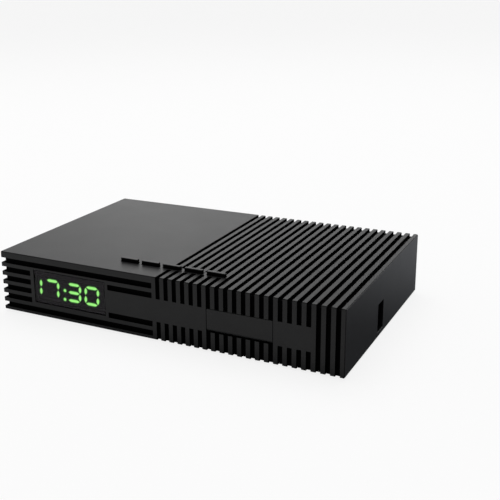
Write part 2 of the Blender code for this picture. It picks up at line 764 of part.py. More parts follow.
def make_keys():
    """Five bar keys: cap, flange under the top, stem, and the pin that runs in the switch below."""
    front = front_board_back + GAP
    back = 2 * key_y - front
    reach_x = KEY_LENGTH / 2 + GAP + KEY_FLANGE_MARGIN
    reach_y = KEY_DEPTH / 2 + GAP + KEY_FLANGE_MARGIN
    in_flange = flange_low + KEY_FLANGE_THICK / 2
    for name, switch_name, x in zip(numbered("key", KEY_COUNT), numbered("key_switch", KEY_COUNT), key_places):
        key = block(name, (x - KEY_LENGTH / 2, key_y - KEY_DEPTH / 2, in_flange),
                    (x + KEY_LENGTH / 2, key_y + KEY_DEPTH / 2, BODY_HEIGHT + KEY_RISE), BLACK_SHELL, KEY_EDGE)
        join(key,
             block(f"{name}_flange", (x - reach_x, key_y - reach_y, flange_low),
                   (x + reach_x, key_y + reach_y, flange_high)),
             block(f"{name}_stem", (x - KEY_STEM_WIDTH / 2, key_y - KEY_STEM_DEPTH / 2, stem_low),
                   (x + KEY_STEM_WIDTH / 2, key_y + KEY_STEM_DEPTH / 2, in_flange)),
             rods(f"{name}_pin", [(x, key_y)], KEY_PIN_RADIUS, 2, key_pin_low,
                  stem_low + KEY_STEM_DROP / 2, sides=SMALL_SIDES))
        switch = block(switch_name, (x - SWITCH_WIDTH / 2, front, switch_high - SWITCH_HEIGHT),
                       (x + SWITCH_WIDTH / 2, back, switch_high), DULL_METAL)
        cut(switch, rods(f"{switch_name}_bore", [(x, key_y)], KEY_PIN_RADIUS + GAP, 2,
                         key_pin_low - KEY_TRAVEL - GAP, switch_high + OVERRUN, sides=SMALL_SIDES))


def make_flap():
    """The drop-down flap: a plate that runs into a round hinge barrel with a pin at each end.

    The barrel is three quarters of a circle, from the plate's front face round to its back face, so
    its radius is the plate's thickness.
    """
    left, right = flap_left + GAP, flap_right - GAP
    turns = [2 * math.pi * n / ROUND_SIDES for n in range(BARREL_SIDES + 1)]
    barrel = [(FLAP_THICK - FLAP_THICK * math.cos(turn), hinge_up - FLAP_THICK * math.sin(turn))
              for turn in turns]
    top = band_high - GAP
    form = bmesh.new()
    add_prism(form, barrel + [(FLAP_THICK, top), (0, top)], 0, left, right)
    flap = piece("front_flap", form, BLACK_SHELL, (flap_x, FLAP_THICK, hinge_up))
    smooth(flap)
    pins = rods("flap_pins", [(FLAP_THICK, hinge_up)], PIN_RADIUS, 0, left - PIN_REACH, right + PIN_REACH,
                sides=SMALL_SIDES)
    join(flap, pins)


def usb_socket(name, mouth, axis, way, middle, wide_axis, length):
    """A metal-shelled socket: a box with a cavity and the tongue that stands in it.

    mouth is where the shell ends along axis, way is +1 or -1 out of the mouth, middle is the place
    across it, and wide_axis is the axis along which the socket is widest.
    """
    thin_axis = 3 - axis - wide_axis

    def corners(wide, thin, near, far, shift=0):
        low, high = Vector(middle), Vector(middle)
        low[wide_axis] -= wide / 2
        high[wide_axis] += wide / 2
        low[thin_axis] += shift - thin / 2
        high[thin_axis] += shift + thin / 2
        ends = sorted((mouth - way * near, mouth - way * far))
        low[axis], high[axis] = ends
        return low, high

    inner_wide, inner_thin = USB_WIDTH - 2 * USB_SHELL, USB_HEIGHT - 2 * USB_SHELL
    shell = block(name, *corners(USB_WIDTH, USB_HEIGHT, 0, length), BRIGHT_METAL)
    cut(shell, block(f"{name}_cavity", *corners(inner_wide, inner_thin, -OVERRUN, length - USB_BACK_WALL)))
    join(shell, block(f"{name}_tongue", *corners(USB_TONGUE_WIDTH, USB_TONGUE, USB_TONGUE_SUNK,
                                                  length - USB_BACK_WALL / 2)))


def make_front_socket():
    """The socket behind the flap and the plate that closes the space round it."""
    usb_socket("front_usb_socket", FRONT_USB_SUNK, 1, -1, (flap_x, 0, band_middle), 0,
               FRONT_BOARD_SET_BACK - GAP - FRONT_USB_SUNK)
    low = (bay_left, front_wall + GAP, band_low - BAY_MARGIN)
    high = (bay_right, front_wall + GAP + BAY_THICK, band_high + BAY_MARGIN)
    plate = block("bay_plate", low, high, BLACK_PART)
    across, up = USB_WIDTH / 2 + GAP, USB_HEIGHT / 2 + GAP
    cut(plate, block("bay_hole", (flap_x - across, 0, band_middle - up),
                     (flap_x + across, high[1] + OVERRUN, band_middle + up)))


def make_side_socket():
    """The upright socket in the right side, on a small board that stands on the base."""
    usb_socket("side_usb_socket", side_mouth, 0, 1, (0, SIDE_PORT_BACK, SIDE_PORT_UP), 2, SIDE_USB_LENGTH)
    block("usb_board", (usb_board_right - USB_BOARD_LENGTH, usb_board_front, FLOOR + GAP),
          (usb_board_right, usb_board_front + BOARD_THICK, FLOOR + GAP + USB_BOARD_HEIGHT), BOARD_GREEN)


def make_front_board():
    """The upright board that carries the display, the switches and the front socket."""
    board = block("front_board", (front_post_xs[0] - FRONT_BOARD_MARGIN, FRONT_BOARD_SET_BACK, front_board_low),
                  (front_post_xs[-1] + FRONT_BOARD_MARGIN, front_board_back, front_board_high), BOARD_GREEN)
    cut(board, rods("front_board_holes", front_post_places, screw_hole, 1, FRONT_BOARD_SET_BACK - OVERRUN,
                    front_board_back + OVERRUN, sides=SMALL_SIDES))


def make_main_board():
    """The main board, with a notch at its right front for the small upright board."""
    outline = [(board_left, MAIN_BOARD_FRONT), (notch_x, MAIN_BOARD_FRONT), (notch_x, notch_back),
               (board_right, notch_back), (board_right, board_back), (board_left, board_back)]
    board = prism("main_board", outline, 2, board_low, board_high, BOARD_GREEN)
    cut(board, rods("main_board_holes", pillar_places, screw_hole, 2, board_low - OVERRUN, board_high + OVERRUN,
                    sides=SMALL_SIDES))


def make_board_parts():
    """What stands on the main board."""
    low = Vector((lnb_out_x - TUNER_MARGIN, tuner_front, seat))
    high = Vector((lnb_in_x + TUNER_MARGIN, board_back, seat + TUNER_HEIGHT))
    can = block("tuner_can", low, high, BRIGHT_METAL, GAP)
    sheet = Vector((TUNER_SHEET, TUNER_SHEET, TUNER_SHEET))
    cut(can, block("tuner_inside", low + Vector((TUNER_SHEET, TUNER_SHEET, -OVERRUN)), high - sheet))

    half = PROCESSOR_SIZE / 2
    block("processor", (processor_x - half, processor_y - half, seat),
          (processor_x + half, processor_y + half, seat + PROCESSOR_THICK), BLACK_PART)

    half = SINK_SIZE / 2
    low = seat + PROCESSOR_THICK + GAP
    sink = block("heat_sink", (processor_x - half, processor_y - half, low),
                 (processor_x + half, processor_y + half, low + SINK_HEIGHT), DULL_METAL)
    pitch = (SINK_SIZE - SINK_FIN_THICK) / (SINK_FIN_COUNT - 1)
    channels = []
    for n in range(SINK_FIN_COUNT - 1):
        start = processor_x - half + SINK_FIN_THICK + n * pitch
        end = start + pitch - SINK_FIN_THICK
        channels.append(((start, processor_y - half - OVERRUN, low + SINK_PLATE),
                         (end, processor_y + half + OVERRUN, low + SINK_HEIGHT + OVERRUN)))
    cut(sink, blocks("sink_channels", channels))

    first = processor_x + SINK_SIZE / 2 + CHIP_SPACE
    for n, name in enumerate(numbered("memory_chip", CHIP_COUNT)):
        x = first + n * CHIP_PITCH
        block(name, (x, processor_y - CHIP_DEPTH / 2, seat),
              (x + CHIP_WIDTH, processor_y + CHIP_DEPTH / 2, seat + CHIP_THICK), BLACK_PART)

    left = board_left + CAPACITOR_SIDE
    row = panel_back - DC_DEPTH - CAPACITOR_SPACE - CAPACITOR_RADIUS
    can = [(CAPACITOR_RADIUS, 0), (CAPACITOR_RADIUS, CAPACITOR_HEIGHT)]
    places = [(left + n * CAPACITOR_PITCH, row, seat) for n in range(CAPACITOR_COUNT)]
    turned(numbered("capacitor", CAPACITOR_COUNT), can, places, 2, BLACK_PART)

    back = row - CAPACITOR_RADIUS - CAPACITOR_SPACE
    block("coil", (left, back - COIL_SIZE, seat), (left + COIL_SIZE, back, seat + COIL_HEIGHT), DULL_METAL, GAP)


def make_cable():
    """The flat cable from the front board's back to its header on the main board."""
    header_front = MAIN_BOARD_FRONT + HEADER_SET_BACK
    block("cable_header", (header_x - HEADER_WIDTH / 2, header_front, seat),
          (header_x + HEADER_WIDTH / 2, header_front + HEADER_DEPTH, seat + HEADER_HEIGHT), BLACK_PART)

    start = Vector((front_board_back + GAP, CABLE_UP))
    end = Vector((header_front - GAP, seat + HEADER_HEIGHT / 2))
    handles = [start, start + Vector((CABLE_BOW, 0)), end - Vector((CABLE_BOW, 0)), end]
    upper, lower = [], []
    for n in range(CABLE_STEPS + 1):
        t = n / CABLE_STEPS
        weights = [(1 - t) ** 3, 3 * t * (1 - t) ** 2, 3 * t ** 2 * (1 - t), t ** 3]
        spot = sum((weight * handle for weight, handle in zip(weights, handles)), Vector((0, 0)))
        slopes = [-(1 - t) ** 2, (1 - t) ** 2 - 2 * t * (1 - t), 2 * t * (1 - t) - t ** 2, t ** 2]
        run = sum((slope * handle for slope, handle in zip(slopes, handles)), Vector((0, 0))).normalized()
        side = Vector((-run.y, run.x)) * CABLE_THICK / 2
        upper.append(spot + side)
        lower.append(spot - side)
    prism("flat_cable", lower + upper[::-1], 0, header_x - CABLE_WIDTH / 2, header_x + CABLE_WIDTH / 2,
          GREY_RIBBON)


def make_lnb_socket(name, x):
    """A threaded aerial socket: hexagon flange, barrel and the hole for the cable's core."""
    up = seat + SOCKET_STANDOFF
    back = BODY_DEPTH + SOCKET_REACH
    barrel = rods(name, [(x, up)], LNB_RADIUS, 1, socket_front, back, BRIGHT_METAL)
    join(barrel, rods(f"{name}_flange", [(x, up)], LNB_FLANGE_RADIUS, 1, socket_front + GAP / 2,
                      socket_front + LNB_FLANGE_THICK, sides=HEX_SIDES))
    cut(barrel, rods(f"{name}_bore", [(x, up)], LNB_BORE_RADIUS, 1, back - LNB_BORE_DEPTH, back + OVERRUN,
                     sides=SMALL_SIDES))


def make_audio_socket():
    """The digital audio socket: an insulating body with a round metal sleeve."""
    front = panel_front - GAP - AUDIO_BODY_DEPTH
    up = seat + AUDIO_BODY / 2
    back = BODY_DEPTH + AUDIO_REACH
    body = block("digital_audio_socket", (audio_x - AUDIO_BODY / 2, front, seat),
                 (audio_x + AUDIO_BODY / 2, panel_front - GAP, seat + AUDIO_BODY), ORANGE)
    join(body, rods("audio_sleeve", [(audio_x, up)], AUDIO_RADIUS, 1, panel_front - AUDIO_BODY_DEPTH / 2, back))
    cut(body, rods("audio_bore", [(audio_x, up)], AUDIO_BORE_RADIUS, 1, BODY_DEPTH, back + OVERRUN,
                   sides=SMALL_SIDES))


def make_hdmi_socket():
    """The picture socket: a flat metal shell with cut lower corners, and the tongue in it."""
    back = panel_back
    front = back - HDMI_DEPTH
    wide = HDMI_WIDTH / 2

    def outline(shrink):
        low, high = seat + shrink, seat + HDMI_HEIGHT - shrink
        half = wide - shrink
        return [(hdmi_x - half + HDMI_CORNER, low), (hdmi_x + half - HDMI_CORNER, low),
                (hdmi_x + half, low + HDMI_CORNER), (hdmi_x + half, high), (hdmi_x - half, high),
                (hdmi_x - half, low + HDMI_CORNER)]

    shell = prism("hdmi_socket", outline(0), 1, front, back, BRIGHT_METAL)
    cut(shell, prism("hdmi_cavity", outline(HDMI_SHELL), 1, front + HDMI_BACK_WALL, back + OVERRUN))
    middle = seat + HDMI_HEIGHT / 2
    reach = wide - 2 * HDMI_SHELL - HDMI_CORNER / 2
    join(shell, block("hdmi_tongue", (hdmi_x - reach, front + HDMI_BACK_WALL / 2, middle - HDMI_TONGUE / 2),
                      (hdmi_x + reach, back - HDMI_TONGUE_SUNK, middle + HDMI_TONGUE / 2)))


def make_lan_socket():
    """The network socket: a shielded block with a stepped cavity for the plug and its latch."""
    back = panel_back
    shell = block("lan_socket", (lan_x - LAN_WIDTH / 2, back - LAN_DEPTH, seat),
                  (lan_x + LAN_WIDTH / 2, back, seat + LAN_HEIGHT), BRIGHT_METAL)
    low = seat + LAN_CAVITY_LOW
    deep = back - LAN_CAVITY_DEPTH
    cut(shell,
        block("lan_cavity", (lan_x - LAN_CAVITY_WIDTH / 2, deep, low),
              (lan_x + LAN_CAVITY_WIDTH / 2, back + OVERRUN, low + LAN_CAVITY_HEIGHT)),
        block("lan_latch", (lan_x - LAN_LATCH_WIDTH / 2, deep + OVERRUN, low - LAN_LATCH_HEIGHT),
              (lan_x + LAN_LATCH_WIDTH / 2, back + OVERRUN + OVERRUN, low + LAN_LATCH_HEIGHT)))


def make_av_socket():
    """The small round sound and picture socket."""
    front = panel_front - GAP - AV_BODY_DEPTH
    up = seat + AV_BODY / 2
    body = block("av_socket", (av_x - AV_BODY / 2, front, seat),
                 (av_x + AV_BODY / 2, panel_front - GAP, seat + AV_BODY), BLACK_PART)
    join(body, rods("av_collar", [(av_x, up)], AV_RADIUS, 1, panel_front - AV_BODY_DEPTH / 2, BODY_DEPTH))
    cut(body, rods("av_bore", [(av_x, up)], AV_BORE_RADIUS, 1, BODY_DEPTH - AV_BORE_DEPTH, BODY_DEPTH + OVERRUN,
                   sides=SMALL_SIDES))


def make_dc_socket():
    """The low-voltage power socket, a block with a round well and a centre pin."""
    back = panel_back
    up = seat + DC_HEIGHT / 2
    body = block("dc_socket", (dc_x - DC_WIDTH / 2, back - DC_DEPTH, seat),
                 (dc_x + DC_WIDTH / 2, back, seat + DC_HEIGHT), BLACK_PART)
    well = back - DC_BORE_DEPTH
    cut(body, rods("dc_well", [(dc_x, up)], DC_BORE_RADIUS, 1, well, back + OVERRUN))
    join(body, rods("dc_pin", [(dc_x, up)], DC_PIN_RADIUS, 1, well - OVERRUN, back - DC_PIN_SUNK,
                    sides=SMALL_SIDES))


def make_rear_panel():
    """The sheet panel that closes the back, with a hole for every socket and a row of vents."""
    low = (inner_left + GAP, panel_front, FLOOR + GAP)
    high = (inner_right - GAP, panel_back, ceiling - GAP)
    panel = block("rear_panel", low, high, BLACK_PART)
    start, end = panel_front - OVERRUN, panel_back + OVERRUN
    clear = PANEL_CLEARANCE
    lnb_up = seat + SOCKET_STANDOFF

    def window(x, width, height):
        reach = width / 2 + clear
        return (x - reach, start, seat - clear), (x + reach, end, seat + height + clear)

    squares = [window(hdmi_x, HDMI_WIDTH, HDMI_HEIGHT), window(lan_x, LAN_WIDTH, LAN_HEIGHT),
               window(dc_x, DC_WIDTH, DC_HEIGHT)]
    first = (dc_x + lan_x - (PANEL_VENT_COUNT - 1) * PANEL_VENT_PITCH - PANEL_VENT_WIDTH) / 2
    vent_high = ceiling - PANEL_VENT_DROP
    for n in range(PANEL_VENT_COUNT):
        x = first + n * PANEL_VENT_PITCH
        squares.append(((x, start, vent_high - PANEL_VENT_HEIGHT), (x + PANEL_VENT_WIDTH, end, vent_high)))
    cut(panel,
        blocks("panel_windows", squares),
        rods("lnb_holes", [(lnb_in_x, lnb_up), (lnb_out_x, lnb_up)], LNB_RADIUS + clear, 1, start, end),
        rods("audio_hole", [(audio_x, seat + AUDIO_BODY / 2)], AUDIO_RADIUS + clear, 1, start, end),
        rods("av_hole", [(av_x, seat + AV_BODY / 2)], AV_RADIUS + clear, 1, start, end, sides=SMALL_SIDES),
        rods("panel_screw_holes", rear_screw_places, screw_hole, 1, start, end, sides=SMALL_SIDES))


def make_base():
    """The base tray: floor, rim, channel for the rear panel, pillars, screw seats, feet seats and vents."""
    left, right = inner_left + GAP, inner_right - GAP
    front = front_wall + GAP
    channel_front, channel_back = panel_front - GAP, panel_back + GAP
    base = block("base_tray", (left, front, 0), (right, BODY_DEPTH, RIM_HEIGHT), BLACK_SHELL)
    cut(base,
        block("base_well", (left + RIM_THICK, front + RIM_THICK, FLOOR),
              (right - RIM_THICK, channel_front - RIM_THICK, RIM_HEIGHT + OVERRUN)),
        block("base_channel", (left - OVERRUN, channel_front, FLOOR),
              (right + OVERRUN, channel_back, RIM_HEIGHT + OVERRUN)))

    in_floor = FLOOR / 2
    pillar_top = board_low - GAP
    clip_right = usb_board_right - RIM_THICK
    join(base,
         rods("base_bosses", boss_places, BASE_BOSS_RADIUS, 2, in_floor, BASE_BOSS_HEIGHT, sides=SMALL_SIDES),
         rods("base_pillars", pillar_places, PILLAR_RADIUS, 2, in_floor, pillar_top, sides=SMALL_SIDES),
         block("board_clip", (clip_right - USB_BOARD_LENGTH / 2, clip_front, in_floor),
               (clip_right, clip_front + RIM_THICK, FLOOR + USB_BOARD_HEIGHT / 2)))

    head_room = SCREW_HEAD_HEIGHT + 2 * GAP
    corners = []
    vent_back = pillar_right - PILLAR_RADIUS - VENT_CLEARANCE
    for share in VENT_MIDDLE_SHARES:
        first = share * half_width - (VENT_COUNT - 1) * VENT_PITCH / 2
        for n in range(VENT_COUNT):
            x = first + n * VENT_PITCH
            corners.append(((x - VENT_WIDTH / 2, vent_back - VENT_LENGTH, -OVERRUN),
                            (x + VENT_WIDTH / 2, vent_back, FLOOR + OVERRUN)))
    cut(base,
        rods("screw_seats", boss_places, SCREW_HEAD_RADIUS + GAP, 2, -OVERRUN, head_room, sides=SMALL_SIDES),
        rods("screw_ways", boss_places, screw_hole, 2, head_room - OVERRUN, BASE_BOSS_HEIGHT + OVERRUN,
             sides=SMALL_SIDES),
        rods("pillar_pilots", pillar_places, screw_hole, 2, FLOOR, pillar_top + OVERRUN, sides=SMALL_SIDES),
        rods("foot_seats", mirrored_corners(FOOT_SIDE, FOOT_END, FOOT_END), FOOT_RADIUS + GAP, 2, -OVERRUN,
             FOOT_SEAT),
        blocks("base_vents", corners))


def make_feet():
    """Four rubber feet, each in its seat in the base."""
    height = FOOT_PROUD + FOOT_SEAT - GAP
    profile = [(FOOT_RADIUS - FOOT_EDGE, 0), (FOOT_RADIUS, FOOT_EDGE), (FOOT_RADIUS, height)]
    places = [(x, y, -FOOT_PROUD) for x, y in mirrored_corners(FOOT_SIDE, FOOT_END, FOOT_END)]
    turned([f"foot_{corner}" for corner in CORNERS], profile, places, 2, RUBBER)


def screws(names, places, axis, way, length):
    """Screws that share one mesh. Each place is under the head, and way is the shank's direction."""
    profile = [(SCREW_HEAD_RADIUS, -way * SCREW_HEAD_HEIGHT), (SCREW_HEAD_RADIUS, 0), (SCREW_RADIUS, 0),
               (SCREW_RADIUS, way * length)]
    turned(names, profile, places, axis, BRIGHT_METAL, SMALL_SIDES)


def make_screws():
    """Every fastener: four in the case, four in the main board, three in the front board, two behind."""
    under = GAP + SCREW_HEAD_HEIGHT
    reach = BASE_BOSS_HEIGHT + CASE_SCREW_LENGTH - GAP - under
    screws([f"case_screw_{corner}" for corner in CORNERS], [(x, y, under) for x, y in boss_places], 2, 1, reach)
    screws(numbered("board_screw", len(pillar_places)), [(x, y, board_high + GAP) for x, y in pillar_places], 2,
           -1, BOARD_SCREW_LENGTH)
    screws(numbered("front_board_screw", len(front_post_places)),
           [(x, front_board_back + GAP, z) for x, z in front_post_places], 1, -1, BOARD_SCREW_LENGTH)
    screws(numbered("rear_screw", len(rear_screw_places)),
           [(x, panel_back + GAP, z) for x, z in rear_screw_places], 1, -1, BOARD_SCREW_LENGTH)


make_cover()
make_window()
make_display()
make_ir_receiver()
make_keys()
make_flap()
make_front_socket()
make_side_socket()
make_front_board()
make_main_board()
make_board_parts()
make_cable()
make_lnb_socket("lnb_in_socket", lnb_in_x)
make_lnb_socket("lnb_out_socket", lnb_out_x)
make_audio_socket()
make_hdmi_socket()
make_lan_socket()
make_av_socket()
make_dc_socket()
make_rear_panel()
make_base()
make_feet()
make_screws()
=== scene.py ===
# %% [markdown]
# # A satellite receiver in black plastic
# The casing, its pieces and their joints are already built to size. This lesson dresses them: it
# gives every surface its finish, adds the details that are too fine for the construction, and sets
# up a plain studio with the camera where the photographer stood.

import math

import bmesh
import bpy
import numpy as np
from mathutils import Matrix, Vector


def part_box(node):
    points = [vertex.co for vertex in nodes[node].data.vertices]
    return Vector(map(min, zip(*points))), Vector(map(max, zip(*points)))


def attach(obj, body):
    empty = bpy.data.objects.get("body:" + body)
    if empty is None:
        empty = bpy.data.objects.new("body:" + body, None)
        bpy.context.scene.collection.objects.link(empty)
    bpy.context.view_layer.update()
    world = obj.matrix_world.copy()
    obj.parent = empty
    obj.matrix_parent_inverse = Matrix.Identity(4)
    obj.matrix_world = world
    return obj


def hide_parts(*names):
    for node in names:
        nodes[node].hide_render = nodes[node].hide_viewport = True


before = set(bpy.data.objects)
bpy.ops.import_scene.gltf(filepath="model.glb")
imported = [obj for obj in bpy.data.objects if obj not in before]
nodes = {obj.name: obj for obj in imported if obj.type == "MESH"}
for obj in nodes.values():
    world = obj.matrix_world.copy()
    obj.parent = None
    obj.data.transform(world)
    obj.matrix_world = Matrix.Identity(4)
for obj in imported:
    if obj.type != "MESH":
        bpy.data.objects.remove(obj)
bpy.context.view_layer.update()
print("pieces built:", len(nodes))

# %% [markdown]
# ## Where the camera stands
# The picture was taken from the right, a little above the lid, with a long lens. The optical axis
# doesn't meet the middle of the picture, so the lens is shifted a little. The angles below were
# found by fitting the straight edges of the casing.

# %% Camera
EYE = Vector((0.2331, -0.4499, 0.1994))
TURN, TILT, LEAN = math.radians(28.317), math.radians(15.831), math.radians(1.122)
PICTURE = 500
FOCAL_PIXELS = 850.74
AXIS_PIXEL = (202.41, 214.83)

ahead = Vector((-math.sin(TURN) * math.cos(TILT), math.cos(TURN) * math.cos(TILT), -math.sin(TILT)))
right = Vector((math.cos(TURN), math.sin(TURN), 0))
down = ahead.cross(right)
right_leaned = math.cos(LEAN) * right + math.sin(LEAN) * down
down_leaned = math.cos(LEAN) * down - math.sin(LEAN) * right

lens = bpy.data.cameras.new("camera")
lens.sensor_width = 36
lens.lens = FOCAL_PIXELS * lens.sensor_width / PICTURE
lens.shift_x = (PICTURE / 2 - AXIS_PIXEL[0]) / PICTURE
lens.shift_y = (AXIS_PIXEL[1] - PICTURE / 2) / PICTURE
lens.clip_start, lens.clip_end = 0.01, 50
camera = bpy.data.objects.new("camera", lens)
turned_to = Matrix((right_leaned, -down_leaned, -ahead)).transposed().to_4x4()
camera.matrix_world = Matrix.Translation(EYE) @ turned_to
bpy.context.scene.collection.objects.link(camera)
bpy.context.scene.camera = camera
print("lens in mm:", round(lens.lens, 1))

# %% [markdown]
# ## Writing a finish as sums
# A finish is worked out by small nodes that add, multiply and compare. Linking them by hand is slow
# to read, so a value that comes out of a node is wrapped in a class whose operators add the Math
# nodes. An expression then reads like the sum that it is.

# %% A value that takes part in sums
class Value:
    """One number of a finish. Each operator adds the Math node that works it out."""

    def __init__(self, finish, socket):
        self.finish, self.socket = finish, socket

    def math(self, operation, first, second=0):
        return self.finish.value("ShaderNodeMath", {"operation": operation}, {0: first, 1: second})

    def __add__(self, other):
        return self.math("ADD", self, other)

    def __sub__(self, other):
        return self.math("SUBTRACT", self, other)

    def __mul__(self, other):
        return self.math("MULTIPLY", self, other)

    def __truediv__(self, other):
        return self.math("DIVIDE", self, other)

    def __radd__(self, other):
        return self.math("ADD", other, self)

    def __rsub__(self, other):
        return self.math("SUBTRACT", other, self)

    def __rmul__(self, other):
        return self.math("MULTIPLY", other, self)

    def above(self, level):
        return self.math("GREATER_THAN", self, level)

    def below(self, level):
        return self.math("LESS_THAN", self, level)

    def least(self, other):
        return self.math("MINIMUM", self, other)

    def most(self, other):
        return self.math("MAXIMUM", self, other)

    def size(self):
        return self.math("ABSOLUTE", self)

    def root(self):
        return self.math("SQRT", self)

    def wrapped(self, length):
        """Where a value lies in a pattern that repeats after a length, from 0 to that length."""
        return self.math("FLOORED_MODULO", self, length)

    def rise(self, low, high):
        """Goes smoothly from 0 at low to 1 at high."""
        return self.finish.value("ShaderNodeMapRange", {"interpolation_type": "SMOOTHSTEP"},
                                 {"Value": self, "From Min": low, "From Max": high})

# %% [markdown]
# A finish is one material: its nodes, its places on the object and its shader. Everything that isn't
# a sum comes from one method that takes the node's type, its settings and what goes into it.

# %% A finish
class Finish:
    """A material and the few ways in which this lesson builds one."""

    def __init__(self, name, roughness=0.5, metallic=0, **constants):
        self.material = bpy.data.materials.new(name)
        self.material.use_nodes = True
        self.tree = self.material.node_tree
        self.shader = self.tree.nodes["Principled BSDF"]
        self.output = self.tree.nodes["Material Output"]
        self.shader.inputs["Roughness"].default_value = roughness
        self.shader.inputs["Metallic"].default_value = metallic
        for key, number in constants.items():
            self.shader.inputs[key.replace("_", " ")].default_value = number

    def feed(self, socket, given):
        """Put a number, a colour, a value or a socket into a socket."""
        given = given.socket if isinstance(given, Value) else given
        if isinstance(given, bpy.types.NodeSocket):
            self.tree.links.new(given, socket)
        elif isinstance(given, tuple) and len(given) == 3 and socket.type == "RGBA":
            socket.default_value = (*given, 1)
        else:
            socket.default_value = given

    def node(self, kind, settings=None, inputs=None):
        made = self.tree.nodes.new(kind)
        for key, setting in (settings or {}).items():
            setattr(made, key, setting)
        for key, given in (inputs or {}).items():
            self.feed(made.inputs[key], given)
        return made

    def value(self, kind, settings=None, inputs=None, output=0):
        return Value(self, self.node(kind, settings, inputs).outputs[output])

    def places(self):
        """The object's own x, y and z in metres."""
        place = self.node("ShaderNodeTexCoord").outputs["Object"]
        parts = self.node("ShaderNodeSeparateXYZ", None, {0: place})
        return [Value(self, parts.outputs[n]) for n in range(3)]

    def spread(self):
        """The two coordinates that a made surface carries, each from 0 to 1."""
        place = self.node("ShaderNodeUVMap", {"uv_map": "spread"}).outputs[0]
        parts = self.node("ShaderNodeSeparateXYZ", None, {0: place})
        return [Value(self, parts.outputs[n]) for n in range(2)]

    def scaled(self, x=1, y=1, z=1):
        """Object coordinates stretched along the axes, to draw out a grain."""
        place = self.node("ShaderNodeTexCoord").outputs["Object"]
        stretched = self.node("ShaderNodeVectorMath", {"operation": "MULTIPLY"}, {0: place, 1: (x, y, z)})
        return stretched.outputs[0]

    def noise(self, cell, detail=2, vector=None):
        """Noise whose cells are so many metres across."""
        vector = vector or self.scaled()
        return self.value("ShaderNodeTexNoise", {"noise_dimensions": "3D"},
                          {"Vector": vector, "Scale": 1 / cell, "Detail": detail})

    def mix(self, mask, first, second):
        """A colour that goes from first to second as the mask goes from 0 to 1."""
        made = self.node("ShaderNodeMix", {"data_type": "RGBA"})
        for index, given in ((0, mask), (6, first), (7, second)):
            self.feed(made.inputs[index], given)
        return made.outputs[2]

    def relief(self, height, depth, strength=1):
        """A Bump node: height from 0 to 1 stands for so many metres."""
        return self.node("ShaderNodeBump", None,
                         {"Height": height, "Distance": depth, "Strength": strength}).outputs["Normal"]

    def set(self, **inputs):
        for key, given in inputs.items():
            self.feed(self.shader.inputs[key.replace("_", " ")], given)
        return self

    def over(self, mask, colour, roughness, metallic=0, specular=0.5):
        """Where the mask is 1, another shader of a plain kind takes the place of this one."""
        other = self.node("ShaderNodeBsdfPrincipled", None,
                          {"Base Color": colour, "Roughness": roughness, "Metallic": metallic,
                           "Specular IOR Level": specular})
        below = self.output.inputs["Surface"].links[0].from_socket
        blend = self.node("ShaderNodeMixShader", None, {0: mask, 1: below, 2: other.outputs[0]})
        self.tree.links.new(blend.outputs[0], self.output.inputs["Surface"])
        return self

    def on(self, *names):
        """Give this finish to built pieces."""
        for name in names:
            for place in nodes[name].material_slots:
                place.material = self.material
        return self


def apart(first, second):
    """How far a point lies from an axis."""
    return (first * first + second * second).root()


# %% [markdown]
# ## Surfaces from whole arrays
# Every new piece is worked out as one array of points, rows by columns, and joined into faces. A
# second way in makes the same mesh from many equal pieces at once. Built pieces that only need
# rounder edges are copied, their flat faces are merged, and a bevel does the rest.

# %% Surfaces
SHARP = math.radians(35)


def grid_faces(rows, columns, closed_columns, first=0):
    """Corner numbers of the quads of a grid, whose columns may close into a ring."""
    row = np.arange(rows - 1)[:, None]
    column = np.arange(columns if closed_columns else columns - 1)[None, :]
    corners = [(row, column), (row, column + 1), (row + 1, column + 1), (row + 1, column)]
    return np.stack([first + r * columns + c % columns for r, c in corners], axis=-1).reshape(-1, 4)


def surface(name, sheets, closed_columns=False, finish=None, body="housing", near=None):
    """One piece made of grids of points, each an array of rows by columns by 3.

    A grid carries a spread map: the share of the way along its rows and along its columns. near turns
    the faces outwards where a grid closes on itself.
    """
    points, faces, spread, first = [], [], [], 0
    for sheet in sheets:
        rows, columns = sheet.shape[:2]
        faces.append(grid_faces(rows, columns, closed_columns, first))
        points.append(sheet.reshape(-1, 3))
        share = np.meshgrid(np.linspace(0, 1, rows), np.linspace(0, 1, columns), indexing="ij")
        spread.append(np.stack(share, axis=-1).reshape(-1, 2))
        first += rows * columns
    points, faces, spread = np.concatenate(points), np.concatenate(faces), np.concatenate(spread)
    mesh = bpy.data.meshes.new(name)
    mesh.from_pydata(points.tolist(), [], faces.tolist())
    layer = mesh.uv_layers.new(name="spread")
    layer.data.foreach_set("uv", spread[faces.reshape(-1)].reshape(-1))
    mesh.shade_smooth()
    made = bpy.data.objects.new(name, mesh)
    bpy.context.scene.collection.objects.link(made)
    if near:
        form = bmesh.new()
        form.from_mesh(mesh)
        bmesh.ops.remove_doubles(form, verts=form.verts, dist=near)
        bmesh.ops.recalc_face_normals(form, faces=form.faces)
        form.to_mesh(mesh)
        form.free()
        mesh.set_sharp_from_angle(angle=SHARP)
    if finish:
        mesh.materials.append(finish.material)
    if body:
        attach(made, body)
    print(name, "faces:", len(mesh.polygons))
    return made


